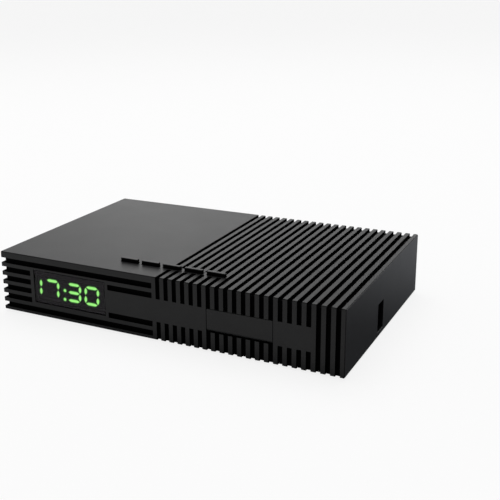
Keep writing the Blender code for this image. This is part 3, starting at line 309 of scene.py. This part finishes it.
def boxes(name, low, high, finish, body="housing"):
    """Many small boxes in one piece, from arrays of their lowest and highest corners.

    Each box is the unit cube's eight corners, stretched from its low to its high corner.
    """
    low, high = np.atleast_2d(np.array(low, float)), np.atleast_2d(np.array(high, float))
    unit = np.array([(x, y, z) for x in (0, 1) for y in (0, 1) for z in (0, 1)])
    sides = np.array([(0, 1, 3, 2), (4, 6, 7, 5), (0, 4, 5, 1), (2, 3, 7, 6), (0, 2, 6, 4), (1, 5, 7, 3)])
    points = (low[:, None] + unit[None] * (high - low)[:, None]).reshape(-1, 3)
    faces = (np.arange(len(low))[:, None, None] * 8 + sides[None]).reshape(-1, 4)
    mesh = bpy.data.meshes.new(name)
    mesh.from_pydata(points.tolist(), [], faces.tolist())
    mesh.materials.append(finish.material)
    made = bpy.data.objects.new(name, mesh)
    bpy.context.scene.collection.objects.link(made)
    rounded(made, 0.00006, 1)
    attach(made, body)
    print(name, "boxes:", len(low))
    return made


def rounded(made, width, segments=2, chosen="ANGLE"):
    """Round a piece's edges with a bevel: all sharp ones, or those that carry a weight."""
    bevel = made.modifiers.new("Edges", "BEVEL")
    bevel.width = width
    bevel.segments = segments
    bevel.limit_method = chosen
    bevel.angle_limit = SHARP
    return made


def copy_of(node, name, body, finish, width, segments=2):
    """A copy of a built piece with its flat faces merged and its edges rounded, which takes its place.

    A bevel can be no wider than about half of the shortest edge it meets, so a sharp edge that meets
    a very short one stays as it is. The last step weighs each corner's shading by the size of its
    faces, so that large faces look flat.
    """
    form = bmesh.new()
    form.from_mesh(nodes[node].data)
    bmesh.ops.remove_doubles(form, verts=form.verts, dist=0.000002)
    bmesh.ops.dissolve_limit(form, angle_limit=math.radians(0.5), verts=form.verts, edges=form.edges)
    weight = form.edges.layers.float.new("bevel_weight_edge")
    shortest = {corner: min(edge.calc_length() for edge in corner.link_edges) for corner in form.verts}
    for edge in form.edges:
        roomy = min(shortest[corner] for corner in edge.verts) > 1.9 * width
        edge[weight] = float(roomy and edge.calc_face_angle(0) > SHARP)
    mesh = bpy.data.meshes.new(name)
    form.to_mesh(mesh)
    form.free()
    mesh.shade_smooth()
    mesh.materials.append(finish.material)
    made = bpy.data.objects.new(name, mesh)
    bpy.context.scene.collection.objects.link(made)
    rounded(made, width, segments, "WEIGHT")
    weigh = made.modifiers.new("Flat faces", "WEIGHTED_NORMAL")
    weigh.keep_sharp = True
    weigh.weight = 100
    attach(made, body)
    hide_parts(node)
    print(name, "faces:", len(mesh.polygons))
    return made


# %% [markdown]
# ## The casing's plastic
# The casing is moulded in black ABS. The mould was spark-eroded, which leaves a fine even grain of
# about a third of a millimetre, so the plastic looks dull from above and lights up when it is seen
# at a low angle against something bright. A weak specular level does the same: nearly black when
# seen square on, grey at a grazing angle. The grooves get painted shade: their walls and floors
# fade to a dull black with their depth below the outer faces, darker than the lamps alone make them.

# %% Shell plastic
SHELL_COLOUR = (0.0058, 0.0058, 0.0061)
SHELL_WORN = (0.0078, 0.0078, 0.0081)
# The colour of the painted shade in the grooves and on the fronts of the keys.
PAINTED_SHADE_BLACK = (0.0012, 0.0012, 0.0013)
cover_low, cover_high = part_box("top_cover")


def moulded_plastic(name, colour, lighter, roughness, grain=0.00035, depth=0.000018, shine=0.30):
    """Black moulded plastic: a fine grain, and a slow unevenness in its dullness and tone."""
    finish = Finish(name, Specular_IOR_Level=shine)
    fine = finish.noise(grain, 2)
    slow = finish.noise(0.018, 3)
    finish.set(Base_Color=finish.mix(slow.rise(0.35, 0.70), colour, lighter),
               Roughness=roughness + 0.06 * (slow - 0.5) + 0.05 * (fine - 0.5),
               Normal=finish.relief(fine, depth))
    return finish


def grooved_plastic(name):
    """The shell's plastic, with painted shade that turns it black a little below the outer faces of the
    casing.
    """
    finish = moulded_plastic(name, SHELL_COLOUR, SHELL_WORN, 0.40, shine=0.24)
    x, y, z = finish.places()
    depth = (x - cover_low.x).least(cover_high.x - x).least(y - cover_low.y).least(cover_high.z - z)
    # Painted shade: below the outer faces the grooves fade to a dull black shader.
    return finish.over(depth.rise(0.00003, 0.00032), PAINTED_SHADE_BLACK, 0.9, specular=0.02)


shell = grooved_plastic("shell_plastic")
copy_of("top_cover", "cover_rounded", "housing", shell, 0.00025, 3)
under = moulded_plastic("base_plastic", (0.010, 0.010, 0.011), (0.014, 0.014, 0.015), 0.55)
under.on("base_tray", "bay_plate")
print("plastics:", shell.material.name, under.material.name)

# %% [markdown]
# ## The flap and the keys
# The flap is cut from the same plastic as the band. The five keys stand a little above the lid. Their
# fronts face away from every bright surface and get painted shade: below the tops they turn black.

# %% Flap and keys
flap_plastic = moulded_plastic("flap_plastic", SHELL_COLOUR, SHELL_WORN, 0.40, shine=0.24)
copy_of("front_flap", "flap_rounded", "flap", flap_plastic, 0.00015)

key_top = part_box("key_1")[1].z
key_plastic = moulded_plastic("key_plastic", SHELL_COLOUR, SHELL_WORN, 0.36, shine=0.24)
height = key_plastic.places()[2]
# Painted shade: a little below their tops the keys fade to a dull black shader.
key_plastic.over((key_top - height).rise(0.00012, 0.00035), PAINTED_SHADE_BLACK, 0.85, specular=0.02)
for number in range(1, 6):
    copy_of(f"key_{number}", f"key_rounded_{number}", f"key_{number}_body", key_plastic, 0.00012)

# %% [markdown]
# ## The display
# Behind a smoked window lies a clock module. Its face is a dark plate with raised segments, of which
# those of the time shown glow green, brightest along their middle. Each lit segment is a bar whose
# ends come to a point, so its half width is the smallest of three lengths: its own half width and
# the ways to its two ends.

# %% Window and plate
smoke = Finish("smoked_window", roughness=0.10, Specular_IOR_Level=0.26, Alpha=0.5)
smoke.set(Base_Color=smoke.mix(smoke.noise(0.03, 2), (0.0105, 0.0085, 0.0112), (0.0125, 0.0100, 0.0130)))
smoke.on("display_window")

plate_low, plate_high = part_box("display_segments")
plate = Finish("display_plate", roughness=0.6, Specular_IOR_Level=0.1)
raised = plate.places()[1].below(plate_low.y + 0.0002)
speckle = plate.noise(0.0008, 2)
plate.set(Base_Color=plate.mix(raised, plate.mix(speckle, (0.003, 0.003, 0.003), (0.004, 0.004, 0.004)),
                               (0.006, 0.008, 0.006)))
plate.on("display_segments")

# %% Lit bars
DIGIT_FIRST, DIGIT_WIDTH, DIGIT_PITCH = 0.0022, 0.0086, 0.0127
COLON_SPACE, COLON_SHIFT = 0.0032, 0.0013
DIGIT_MARGIN_SHARE, BAR_WIDTH_SHARE, BAR_SPACE_SHARE, SLANT_SHARE = 0.1078, 0.243, 0.033, 0.06
COLON_RADIUS_SHARE, COLON_SHARES = 0.128, (0.0, 0.55)
GLOW_SHARE = 1.45
LIT = {1: "right_high right_low", 2: "top right_high right_low",
       3: "top middle bottom right_high right_low", 4: "top bottom left_high left_low right_high right_low"}

digit_height = (plate_high.z - plate_low.z) * (1 - 2 * DIGIT_MARGIN_SHARE)
digit_middle = (plate_low.z + plate_high.z) / 2
digit_low = digit_middle - digit_height / 2
bar_half = BAR_WIDTH_SHARE * DIGIT_WIDTH / 2
bar_space = BAR_SPACE_SHARE * DIGIT_WIDTH
first_right = plate_low.x + DIGIT_FIRST
rights = first_right + DIGIT_PITCH * np.arange(4) + COLON_SPACE * np.array([0, 0, 1, 1])


def in_front(x, z):
    """Points just in front of the plate, leaning to the right with their height."""
    lean = SLANT_SHARE * (z - digit_middle)
    return np.stack([x + lean, np.full_like(x, plate_low.y - 0.00005), z], axis=-1)


def bar(start, end, half=GLOW_SHARE * bar_half):
    """A bar of light between two points in the front plane, seven points wide, with pointed ends."""
    start, end = np.array(start), np.array(end)
    length = np.linalg.norm(end - start)
    run = (end - start) / length
    along = np.linspace(bar_space, length - bar_space, 25)
    reach = np.minimum(half, np.minimum(along, along[::-1]) - bar_space)
    across = np.linspace(-1, 1, 7)[:, None] * reach
    spot = start + along[None, :, None] * run + across[..., None] * np.array([-run[1], run[0]])
    return in_front(spot[..., 0], spot[..., 1])


def dot(x, z, radius):
    """A disc as a fan of diameters: the rows go from one rim through the middle to the other."""
    out, turn = np.meshgrid(np.linspace(-1, 1, 9), np.linspace(0, math.pi, 17), indexing="ij")
    return in_front(x + radius * out * np.cos(turn), z + radius * out * np.sin(turn))


def digit_bars(right, lit):
    """The lit bars of one digit."""
    left, low, middle, high = right - DIGIT_WIDTH, digit_low, digit_middle, digit_low + digit_height
    ends = {"top": ((left, high), (right, high)), "middle": ((left, middle), (right, middle)),
            "bottom": ((left, low), (right, low)), "left_low": ((left, low), (left, middle)),
            "left_high": ((left, middle), (left, high)), "right_low": ((right, low), (right, middle)),
            "right_high": ((right, middle), (right, high))}
    return [bar(*ends[name]) for name in lit.split()]


glow = Finish("lit_green", roughness=0.5, Emission_Strength=4.4)
across = 2 * (glow.spread()[0] - 0.5).size()
mottle = glow.noise(0.0012, 2)
rim = (across + 0.15 * (mottle - 0.5)).rise(0.30, 0.80)
glow.set(Base_Color=(0.004, 0.006, 0.004),
         Emission_Color=glow.mix(rim, (0.30, 0.82, 0.19), (0.0008, 0.040, 0.0005)))
colon_x = (rights[1] + rights[2] - DIGIT_WIDTH) / 2 + COLON_SHIFT
colon_radius = GLOW_SHARE * COLON_RADIUS_SHARE * DIGIT_WIDTH
lit_sheets = [sheet for right, lit in zip(rights, LIT.values()) for sheet in digit_bars(right, lit)]
dot_sheets = [dot(colon_x, digit_low + share * digit_height, colon_radius) for share in COLON_SHARES]
surface("lit_bars", lit_sheets, finish=glow)
surface("lit_dots", dot_sheets, finish=glow)

# %% [markdown]
# ## Metal and small moulded parts
# Sheet metal is stamped from a rolled and plated strip, so its scratches run one way. A socket is
# one solid of several materials. Its finish asks how far a point lies from the socket's middle and
# turns to plastic or metal there.

# %% Metals
def plated_metal(name, colour, roughness, grain=0.0009):
    """Plated sheet metal, rolled along the width: long faint scratches and a slightly uneven shine."""
    finish = Finish(name, metallic=1)
    drawn = finish.noise(grain, 3, finish.scaled(0.08, 1, 1))
    cloud = finish.noise(0.006, 2)
    finish.set(Base_Color=finish.mix(cloud, tuple(0.82 * c for c in colour), colour),
               Roughness=roughness + 0.16 * (drawn - 0.5) + 0.10 * (cloud - 0.5),
               Normal=finish.relief(drawn, 0.000006))
    return finish


NICKEL, STEEL, GOLD = (0.66, 0.65, 0.61), (0.60, 0.60, 0.59), (0.83, 0.62, 0.25)
metal = plated_metal("plated_metal", NICKEL, 0.30)
metal.on("tuner_can", "key_switch_1", "key_switch_2", "key_switch_3", "key_switch_4", "key_switch_5")
gold = plated_metal("contact_gold", GOLD, 0.25, 0.0004)
steel = plated_metal("screw_steel", STEEL, 0.34, 0.0005)
sink = plated_metal("sink_aluminium", (0.42, 0.43, 0.44), 0.42, 0.0006)
sink.on("heat_sink")
panel = moulded_plastic("panel_paint", (0.012, 0.012, 0.013), (0.015, 0.015, 0.016), 0.42, 0.0006, 0.00003)
panel.on("rear_panel")
black = moulded_plastic("black_part", (0.012, 0.012, 0.012), (0.016, 0.016, 0.016), 0.40)
black.on("display_module", "ir_receiver", "cable_header")
rubber = moulded_plastic("foot_rubber", (0.010, 0.010, 0.010), (0.016, 0.015, 0.015), 0.80, 0.0006, 0.00004)
rubber.on("foot_front_left", "foot_front_right", "foot_rear_left", "foot_rear_right")

# %% [markdown]
# ## Sockets of the USB pattern
# The stamped shell holds a tongue of black plastic with four gold contacts. Two spring tabs are cut
# out of each wide wall and bulge inwards along half a sine wave, to grip the plug.

# %% USB sockets
def usb_axes(node, side):
    """A function from places in the socket (across its width, its thickness, and in from the mouth)."""
    low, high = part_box(node)
    middle = (low + high) / 2

    def place(wide, thin, deep):
        wide, thin, deep = np.broadcast_arrays(*(np.asarray(v, float) for v in (wide, thin, deep)))
        if side:
            return np.stack([high.x - deep, middle.y + thin, middle.z + wide], axis=-1)
        return np.stack([middle.x + wide, low.y + deep, middle.z + thin], axis=-1)

    return place


def usb_finish(node, side):
    """Metal outside, plastic on the tongue in the middle."""
    finish = plated_metal(f"{node}_finish", NICKEL, 0.30)
    low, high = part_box(node)
    middle = (low + high) / 2
    x, y, z = finish.places()
    wide, thin = (z - middle.z, y - middle.y) if side else (x - middle.x, z - middle.z)
    tongue = wide.size().below(0.0056) * thin.size().below(0.00115)
    return finish.over(tongue, (0.010, 0.010, 0.010), 0.45)


def usb_details(node, side):
    """Rounded shell, four contacts and four spring tabs."""
    place = usb_axes(node, side)
    length = 0.0100 if side else 0.0062
    copy_of(node, f"{node}_rounded", "housing", usb_finish(node, side), 0.00010)
    contacts = [(-0.0035, 0.0016), (-0.0010, 0.0012), (0.0010, 0.0012), (0.0035, 0.0016)]
    corners = np.array([[place(w - 0.0005, -0.00103, start), place(w + 0.0005, -0.00092, length)]
                        for w, start in contacts])
    boxes(f"{node}_contacts", corners.min(axis=1), corners.max(axis=1), gold)
    share, across = np.meshgrid(np.linspace(0, 1, 13), np.linspace(-0.0008, 0.0008, 3), indexing="ij")
    bulge = 0.0025 - 0.00035 * np.sin(math.pi * share)
    tabs = [place(middle + across, wall * bulge, 0.0014 + 0.0040 * share)
            for middle in (-0.0029, 0.0029) for wall in (-1, 1)]
    springs = surface(f"{node}_springs", tabs, finish=metal)
    springs.modifiers.new("Sheet", "SOLIDIFY").thickness = 0.00012


usb_details("side_usb_socket", True)
usb_details("front_usb_socket", False)

# %% [markdown]
# ## The aerial sockets
# Each is turned from brass and nickel plated: a hexagon flange, a barrel with a fine thread and a
# white insulator round the hole for the cable's core. The radius over the length is one array. On
# the flange it follows a hexagon, and on the barrel a cosine that moves on with the angle, which
# makes the thread one continuous helix.

# %% Turned pieces
def turned(radius, along, place, axis, turns=96):
    """Stations of (radius, distance along) turned round an axis through a place.

    radius may be a number for each station, or a whole row over the angle for each.
    """
    angle = np.linspace(0, 2 * math.pi, turns, endpoint=False)
    radius = np.asarray(radius, float)
    radius = radius[:, None] * np.ones(turns) if radius.ndim == 1 else radius
    along = np.broadcast_to(np.asarray(along, float)[:, None], radius.shape)
    points = np.empty(radius.shape + (3,))
    across = [n for n in range(3) if n != axis]
    points[..., across[0]] = place[across[0]] + radius * np.cos(angle)
    points[..., across[1]] = place[across[1]] + radius * np.sin(angle)
    points[..., axis] = place[axis] + along
    return points


THREAD_PITCH, THREAD_DEPTH = 0.0008, 0.00022
BARREL_RADIUS, CORE_RADIUS, FLANGE_DEPTH, CORE_DEPTH = 0.00475, 0.0014, 0.0012, 0.0070


def aerial_socket(node):
    """Hexagon, threaded barrel, mouth and bore as one sheet of points."""
    low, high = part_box(node)
    middle = (low + high) / 2
    length = high.y - low.y
    barrel, bore, flange = BARREL_RADIUS, CORE_RADIUS, FLANGE_DEPTH
    angle = np.linspace(0, 2 * math.pi, 96, endpoint=False)
    apothem = (high.x - low.x) / 2
    hexagon = apothem / np.cos((angle + math.pi / 6) % (math.pi / 3) - math.pi / 6)
    stations = np.linspace(flange + 0.0006, length - 0.0004, 130)
    fade = np.clip(np.minimum(stations - stations[0], stations[-1] - stations) / THREAD_PITCH, 0, 1)
    wave = 0.5 + 0.5 * np.cos(2 * math.pi * stations[:, None] / THREAD_PITCH - angle)
    thread = barrel - THREAD_DEPTH * fade[:, None] * wave
    ring = np.ones_like(angle)
    radius = np.concatenate([[0.0005 * ring, hexagon - 0.0003, hexagon, hexagon, hexagon - 0.0003,
                              barrel * ring], thread,
                             [(barrel - 0.0003) * ring, 0.0036 * ring, 0.0033 * ring,
                              bore * ring, bore * ring, 0.0002 * ring]])
    along = np.concatenate([[0, 0, 0.0002, flange - 0.0002, flange, flange + 0.0001], stations,
                            [length, length, length - 0.0006, length - 0.0006,
                             length - CORE_DEPTH, length - CORE_DEPTH]])
    made = surface(f"{node}_threaded", [turned(radius, along, (middle.x, low.y, middle.z), 1)],
                   closed_columns=True, near=0.000001)
    finish = plated_metal(f"{node}_finish", NICKEL, 0.26, 0.0005)
    x, y, z = finish.places()
    out = apart(x - middle.x, z - middle.z)
    inside = out.below(0.00345) * y.above(high.y - 0.0008)
    finish.over(inside, (0.62, 0.61, 0.56), 0.45)
    made.data.materials.append(finish.material)
    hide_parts(node)


aerial_socket("lnb_in_socket")
aerial_socket("lnb_out_socket")

# %% [markdown]
# ## The other rear sockets
# The network socket is a shielded block with eight sprung wires in its cavity. The picture socket's
# tongue carries a row of fine contacts. The round ones get a metal ring where the plug makes
# contact, found by how far a point lies from the socket's axis.

# %% Network and picture sockets
lan_low, lan_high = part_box("lan_socket")
lan_middle = (lan_low + lan_high) / 2
lan_finish = plated_metal("lan_finish", NICKEL, 0.32)
x, y, z = lan_finish.places()
lan_cavity = (x - lan_middle.x).size().below(0.00595) * (z - (lan_low.z + 0.0063)).size().below(0.0050)
lan_finish.over(lan_cavity * (y.below(lan_high.y - 0.0006)), (0.009, 0.009, 0.009), 0.5)
copy_of("lan_socket", "lan_rounded", "housing", lan_finish, 0.00012)

share = np.linspace(0, 1, 21)
wire_y = lan_high.y - 0.0020 - 0.0100 * share
wire_z = lan_low.z + 0.0106 - 0.0030 * np.sin(0.5 * math.pi * (1 - share)) * (1 - 0.3 * share)
wires = []
for n in range(8):
    wire_x = lan_middle.x + (n - 3.5) * 0.00102
    edges = wire_x + np.array([-0.00022, 0.00022])[:, None] * np.ones_like(share)
    wires.append(np.stack(np.broadcast_arrays(edges, wire_y, wire_z), axis=-1))
lan_wires = surface("lan_wires", wires, finish=gold)
lan_wires.modifiers.new("Sheet", "SOLIDIFY").thickness = 0.00015

hdmi_low, hdmi_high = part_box("hdmi_socket")
hdmi_middle = (hdmi_low + hdmi_high) / 2
hdmi_finish = plated_metal("hdmi_finish", NICKEL, 0.30)
x, y, z = hdmi_finish.places()
hdmi_tongue = (z - hdmi_middle.z).size().below(0.00055) * (x - hdmi_middle.x).size().below(0.0062)
hdmi_finish.over(hdmi_tongue, (0.010, 0.010, 0.010), 0.45)
copy_of("hdmi_socket", "hdmi_rounded", "housing", hdmi_finish, 0.00008)
contact_x = hdmi_middle.x + 0.0005 * (np.arange(19) - 9)
contact_z = hdmi_middle.z + np.where(np.arange(19) % 2, -0.00055, 0.00050)
boxes("hdmi_contacts", np.stack([contact_x - 0.00013, np.full(19, hdmi_high.y - 0.0070), contact_z], -1),
      np.stack([contact_x + 0.00013, np.full(19, hdmi_high.y - 0.0018), contact_z + 0.00005], -1), gold)


# %% Round sockets
def round_socket(node, colour, axis_up, ring_from, ring_to, behind):
    """A moulded body whose ring round the axis is metal behind a given place."""
    low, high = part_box(node)
    middle = (low + high) / 2
    finish = moulded_plastic(f"{node}_finish", colour, tuple(1.15 * c for c in colour), 0.40)
    x, y, z = finish.places()
    away = apart(x - middle.x, z - (low.z + axis_up))
    finish.over(away.above(ring_from) * away.below(ring_to) * y.above(behind), NICKEL, 0.28, 1)
    return copy_of(node, f"{node}_rounded", "housing", finish, 0.00012)


panel_low, panel_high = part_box("rear_panel")
round_socket("digital_audio_socket", (0.72, 0.20, 0.02), 0.0050, 0.0030, 0.0060, panel_low.y - 0.0001)
round_socket("av_socket", (0.010, 0.010, 0.010), 0.00325, 0.0, 0.0024, panel_high.y + 0.0008)
round_socket("dc_socket", (0.010, 0.010, 0.010), 0.0055, 0.0, 0.0012, panel_low.y - 0.02)

# %% [markdown]
# ## Screws
# Every screw is a small pan head with a cross recess over a threaded shank. The head's height over
# its middle plane is a dome less the recess, and the recess is as deep as the nearer arm of the
# cross is near.

# %% Screws
HEAD_RADIUS, HEAD_HEIGHT, SHANK_RADIUS = 0.0027, 0.0015, 0.0012
DOME_FALL, RIM_DEPTH = 0.0007, 0.0006
RECESS_DEPTH, ARM_LENGTH, ARM_HALF_WIDTH = 0.0008, 0.00150, 0.00038


def screw_sheet(place, axis, way, shank):
    """A screw as one sheet: rows go from the head's top over its rim, under it and down the shank.

    place is the middle under the head, way is the shank's direction along the axis. The dome is an
    arc of a circle, and each arm of the recess has sloping walls.
    """
    turns = 48
    angle = np.linspace(0, 2 * math.pi, turns, endpoint=False)
    reach = np.linspace(0.00002, HEAD_RADIUS - 0.0001, 26)[:, None]
    x, y = reach * np.cos(angle), reach * np.sin(angle)
    dome = HEAD_HEIGHT - DOME_FALL * (reach / HEAD_RADIUS) ** 2
    arm = np.minimum(np.maximum(np.abs(x) / ARM_LENGTH, np.abs(y) / ARM_HALF_WIDTH),
                     np.maximum(np.abs(y) / ARM_LENGTH, np.abs(x) / ARM_HALF_WIDTH))
    cut = RECESS_DEPTH * np.clip(2.4 * (1.0 - arm), 0, 1)
    head = dome - cut + 0 * x
    stations = np.linspace(0, shank, max(8, int(shank / 0.0001)))
    fade = np.clip(stations / 0.0005, 0, 1)[:, None]
    wave = 0.5 + 0.5 * np.cos(2 * math.pi * stations[:, None] / THREAD_PITCH - angle)
    thread = SHANK_RADIUS - 0.0002 * fade * wave
    ring = np.ones_like(angle)
    radius = np.concatenate([reach * ring,
                             [HEAD_RADIUS * ring, HEAD_RADIUS * ring, (SHANK_RADIUS + 0.0001) * ring],
                             thread, [0.00002 * ring]])
    along = np.concatenate([-way * head, [-way * RIM_DEPTH * ring, 0 * ring, 0 * ring],
                            way * stations[:, None] * ring, [way * shank * ring]])
    points = np.empty(radius.shape + (3,))
    across = [n for n in range(3) if n != axis]
    points[..., across[0]] = place[across[0]] + radius * np.cos(angle)
    points[..., across[1]] = place[across[1]] + radius * np.sin(angle)
    points[..., axis] = place[axis] + along
    return points


def screw_group(name, names, axis, way):
    """All screws of one kind as one piece."""
    sheets = []
    for node in names:
        low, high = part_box(node)
        place = (low + high) / 2
        length = high[axis] - low[axis] - HEAD_HEIGHT
        place[axis] = low[axis] + HEAD_HEIGHT if way > 0 else high[axis] - HEAD_HEIGHT
        sheets.append(screw_sheet(place, axis, way, length))
    made = surface(name, sheets, closed_columns=True, finish=steel, near=0.0000005)
    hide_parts(*names)


corners = ("front_left", "front_right", "rear_left", "rear_right")
screw_group("case_screws", [f"case_screw_{corner}" for corner in corners], 2, 1)
screw_group("board_screws", [f"board_screw_{n}" for n in range(1, 5)], 2, -1)
screw_group("front_board_screws", [f"front_board_screw_{n}" for n in range(1, 4)], 1, -1)
screw_group("rear_screws", ["rear_screw_1", "rear_screw_2"], 1, -1)

# %% [markdown]
# ## Inside the casing
# The boards are glass-fibre laminate under a green lacquer. The copper under the lacquer shows as
# slightly lighter lines, and the bare pads are dots on a grid of a tenth of an inch. The chips have
# plated metal leads, and each capacitor is a can in a dark sleeve with a rolled groove.

# %% Boards
PAD_GRID, PAD_RADIUS, TRACK_HALF_WIDTH = 0.00254, 0.00042, 0.00028


def laminate(name, first, second):
    """Lacquered board. first and second name the two axes in which the board lies."""
    finish = Finish(name, roughness=0.34)
    places = finish.places()
    a, b = places[first], places[second]
    cloud = finish.noise(0.009, 2)
    track = (a.wrapped(PAD_GRID / 2) - PAD_GRID / 4).size().below(TRACK_HALF_WIDTH)
    track = track * finish.noise(0.012, 1).above(0.52)
    cross = (b.wrapped(PAD_GRID / 2) - PAD_GRID / 4).size().below(TRACK_HALF_WIDTH)
    cross = cross * finish.noise(0.014, 1).below(0.46)
    copper = track.most(cross)
    away = apart(a.wrapped(PAD_GRID) - PAD_GRID / 2, b.wrapped(PAD_GRID) - PAD_GRID / 2)
    pad = away.below(PAD_RADIUS) * finish.noise(0.010, 1).above(0.56)
    green = finish.mix(cloud, (0.010, 0.070, 0.030), (0.014, 0.088, 0.036))
    finish.set(Base_Color=finish.mix(copper, green, (0.030, 0.150, 0.050)),
               Roughness=0.34 + 0.1 * (cloud - 0.5), Normal=finish.relief(copper, 0.00003))
    return finish.over(pad, (0.62, 0.62, 0.60), 0.35, 1)


laminate("upright_board", 0, 2).on("front_board", "usb_board")
laminate("flat_board", 0, 1).on("main_board")

ribbon = moulded_plastic("cable_ribbon", (0.45, 0.46, 0.48), (0.50, 0.51, 0.53), 0.45)
across = ribbon.places()[0]
ribbon.set(Normal=ribbon.relief((across.wrapped(0.00127) - 0.00063).size() / 0.00063, 0.0002))
ribbon.on("flat_cable")
resin = moulded_plastic("chip_resin", (0.014, 0.014, 0.015), (0.019, 0.019, 0.020), 0.50, 0.0002, 0.00001)
resin.on("processor", "memory_chip_1", "memory_chip_2")
winding = plated_metal("coil_core", (0.20, 0.19, 0.18), 0.55, 0.0008)
winding.on("coil")

# %% Leads, pins and cans
lead_low, lead_high = [], []
for node in ("memory_chip_1", "memory_chip_2"):
    low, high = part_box(node)
    for step in range(14):
        y = low.y + 0.0008 + step * 0.0008
        for edge, way in ((low.x, -1), (high.x, 1)):
            tip = edge + way * 0.0009
            lead_low.append((min(edge, tip), y - 0.00016, low.z - 0.00022))
            lead_high.append((max(edge, tip), y + 0.00016, low.z + 0.00045))
boxes("chip_leads", lead_low, lead_high, metal)

can_boxes = [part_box(f"capacitor_{n}") for n in range(1, 4)]
can_sheets = []
for low, high in can_boxes:
    radius, tall = (high.x - low.x) / 2, high.z - low.z
    profile = np.array([(0.0001, 0), (radius - 0.0004, 0), (radius, 0.0003), (radius, 0.0007),
                        (radius - 0.0004, 0.0012), (radius, 0.0017), (radius, tall - 0.0005),
                        (radius - 0.0003, tall - 0.0001), (radius - 0.0008, tall),
                        (radius - 0.0009, tall - 0.0002), (0.0001, tall - 0.0002)])
    middle = (low + high) / 2
    can_sheets.append(turned(profile[:, 0], profile[:, 1], (middle.x, middle.y, low.z), 2, 48))
sleeve = moulded_plastic("can_sleeve", (0.012, 0.014, 0.030), (0.016, 0.018, 0.036), 0.30)
top = can_boxes[0][1].z
x, y, z = sleeve.places()
sleeve.over((z - (top - 0.0006)).rise(0, 0.0001), (0.55, 0.56, 0.57), 0.35, 1)
cans = surface("capacitor_cans", can_sheets, closed_columns=True, finish=sleeve, near=0.000001)
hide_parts("capacitor_1", "capacitor_2", "capacitor_3")

# %% [markdown]

# %% [markdown]
# ## The studio
# The receiver lies on a plain white sheet that sweeps up behind it. The sheet is white to the camera
# and still takes a soft shadow. What lights the lid is the upper part of the sheet, seen in it at a
# low angle. That is brightest low down and behind the middle, duller far to the left, and dullest
# high up on the right. The floor is left duller in reflections, so that the front and the side stay
# nearly black.

# %% Sheet
FLAT, CURVE, FRONT = 7.0, 2.0, -4.0


def sheet_points(across, along):
    """A flat floor that turns up behind on a quarter circle and goes on as a wall.

    across is x. along is the length on the sheet from its front edge at y = FRONT: flat as far as
    FLAT, then a circle of radius CURVE, then straight up.
    """
    bend = np.clip((along - FLAT) / CURVE, 0, math.pi / 2)
    rise = np.clip(along - FLAT - CURVE * math.pi / 2, 0, None)
    back = np.minimum(along, FLAT) + CURVE * np.sin(bend) + FRONT
    height = CURVE * (1 - np.cos(bend)) + rise
    return np.stack([across, back, height], axis=-1)


across, along = np.meshgrid(np.linspace(7, -7, 3), np.linspace(0, 16, 60), indexing="ij")
sheet = surface("sheet", [sheet_points(across, along)], body=None)

paper = Finish("paper", roughness=0.9, Specular_IOR_Level=0.0)
paper.set(Base_Color=paper.mix(paper.noise(0.4, 2), (0.90, 0.90, 0.90), (0.91, 0.91, 0.91)))
x, y, z = paper.places()
rays = paper.node("ShaderNodeLightPath")
camera_ray = Value(paper, rays.outputs["Is Camera Ray"])
glossy_ray = Value(paper, rays.outputs["Is Glossy Ray"])
clear_ray = Value(paper, rays.outputs["Is Transmission Ray"])
level = 0.76 + 0.66 * x.rise(-4.7, -3.0) + 0.80 * (1 - z.rise(1.2, 2.0))
level = (level - 1.40 * x.rise(-3.0, -1.4) * z.rise(1.6, 2.2)).most(0.1)
wall = paper.mix(level / 3, (0, 0, 0), (3, 3, 3))
beside = paper.mix(y.rise(-0.02, 0.20), (0.10, 0.103, 0.11), (0.60, 0.62, 0.65))
floor = paper.mix(y.rise(-0.10, -0.07), (0.80, 0.80, 0.80), beside)
backdrop = paper.mix(z.rise(0.3, 0.9), floor, wall)
seen = paper.mix(camera_ray.most(clear_ray), backdrop, (1, 1, 1))
white = paper.node("ShaderNodeEmission", None, {"Color": seen, "Strength": 1.0})
share = (0.84 * camera_ray.most(clear_ray)).most(glossy_ray)
blend = paper.node("ShaderNodeMixShader", None, {0: share, 1: paper.shader.outputs[0], 2: white.outputs[0]})
paper.tree.links.new(blend.outputs[0], paper.output.inputs["Surface"])
sheet.data.materials.append(paper.material)

# %% Lamps and sky
world = bpy.data.worlds.new("studio")
bpy.context.scene.world = world
world.use_nodes = True
sky = world.node_tree.nodes["Background"]
sky.inputs["Color"].default_value = (1, 1, 1, 1)
sky.inputs["Strength"].default_value = 0.55


def softbox(name, place, aim, size, watts, colour=(1, 1, 1)):
    """A square lamp that faces a point."""
    lamp = bpy.data.lights.new(name, "AREA")
    lamp.shape = "SQUARE"
    lamp.size = size
    lamp.energy = watts
    lamp.color = colour
    made = bpy.data.objects.new(name, lamp)
    made.location = place
    made.rotation_euler = (Vector(aim) - Vector(place)).to_track_quat("-Z", "Y").to_euler()
    bpy.context.scene.collection.objects.link(made)
    return made


softbox("top_box", (-0.3, 0.5, 1.6), (0, 0, 0), 1.4, 14)
softbox("side_box", (1.2, 1.2, 0.5), (0.1, 0, 0.02), 0.8, 0.8, (0.80, 0.90, 1.0))

bpy.context.scene.view_settings.view_transform = "Standard"
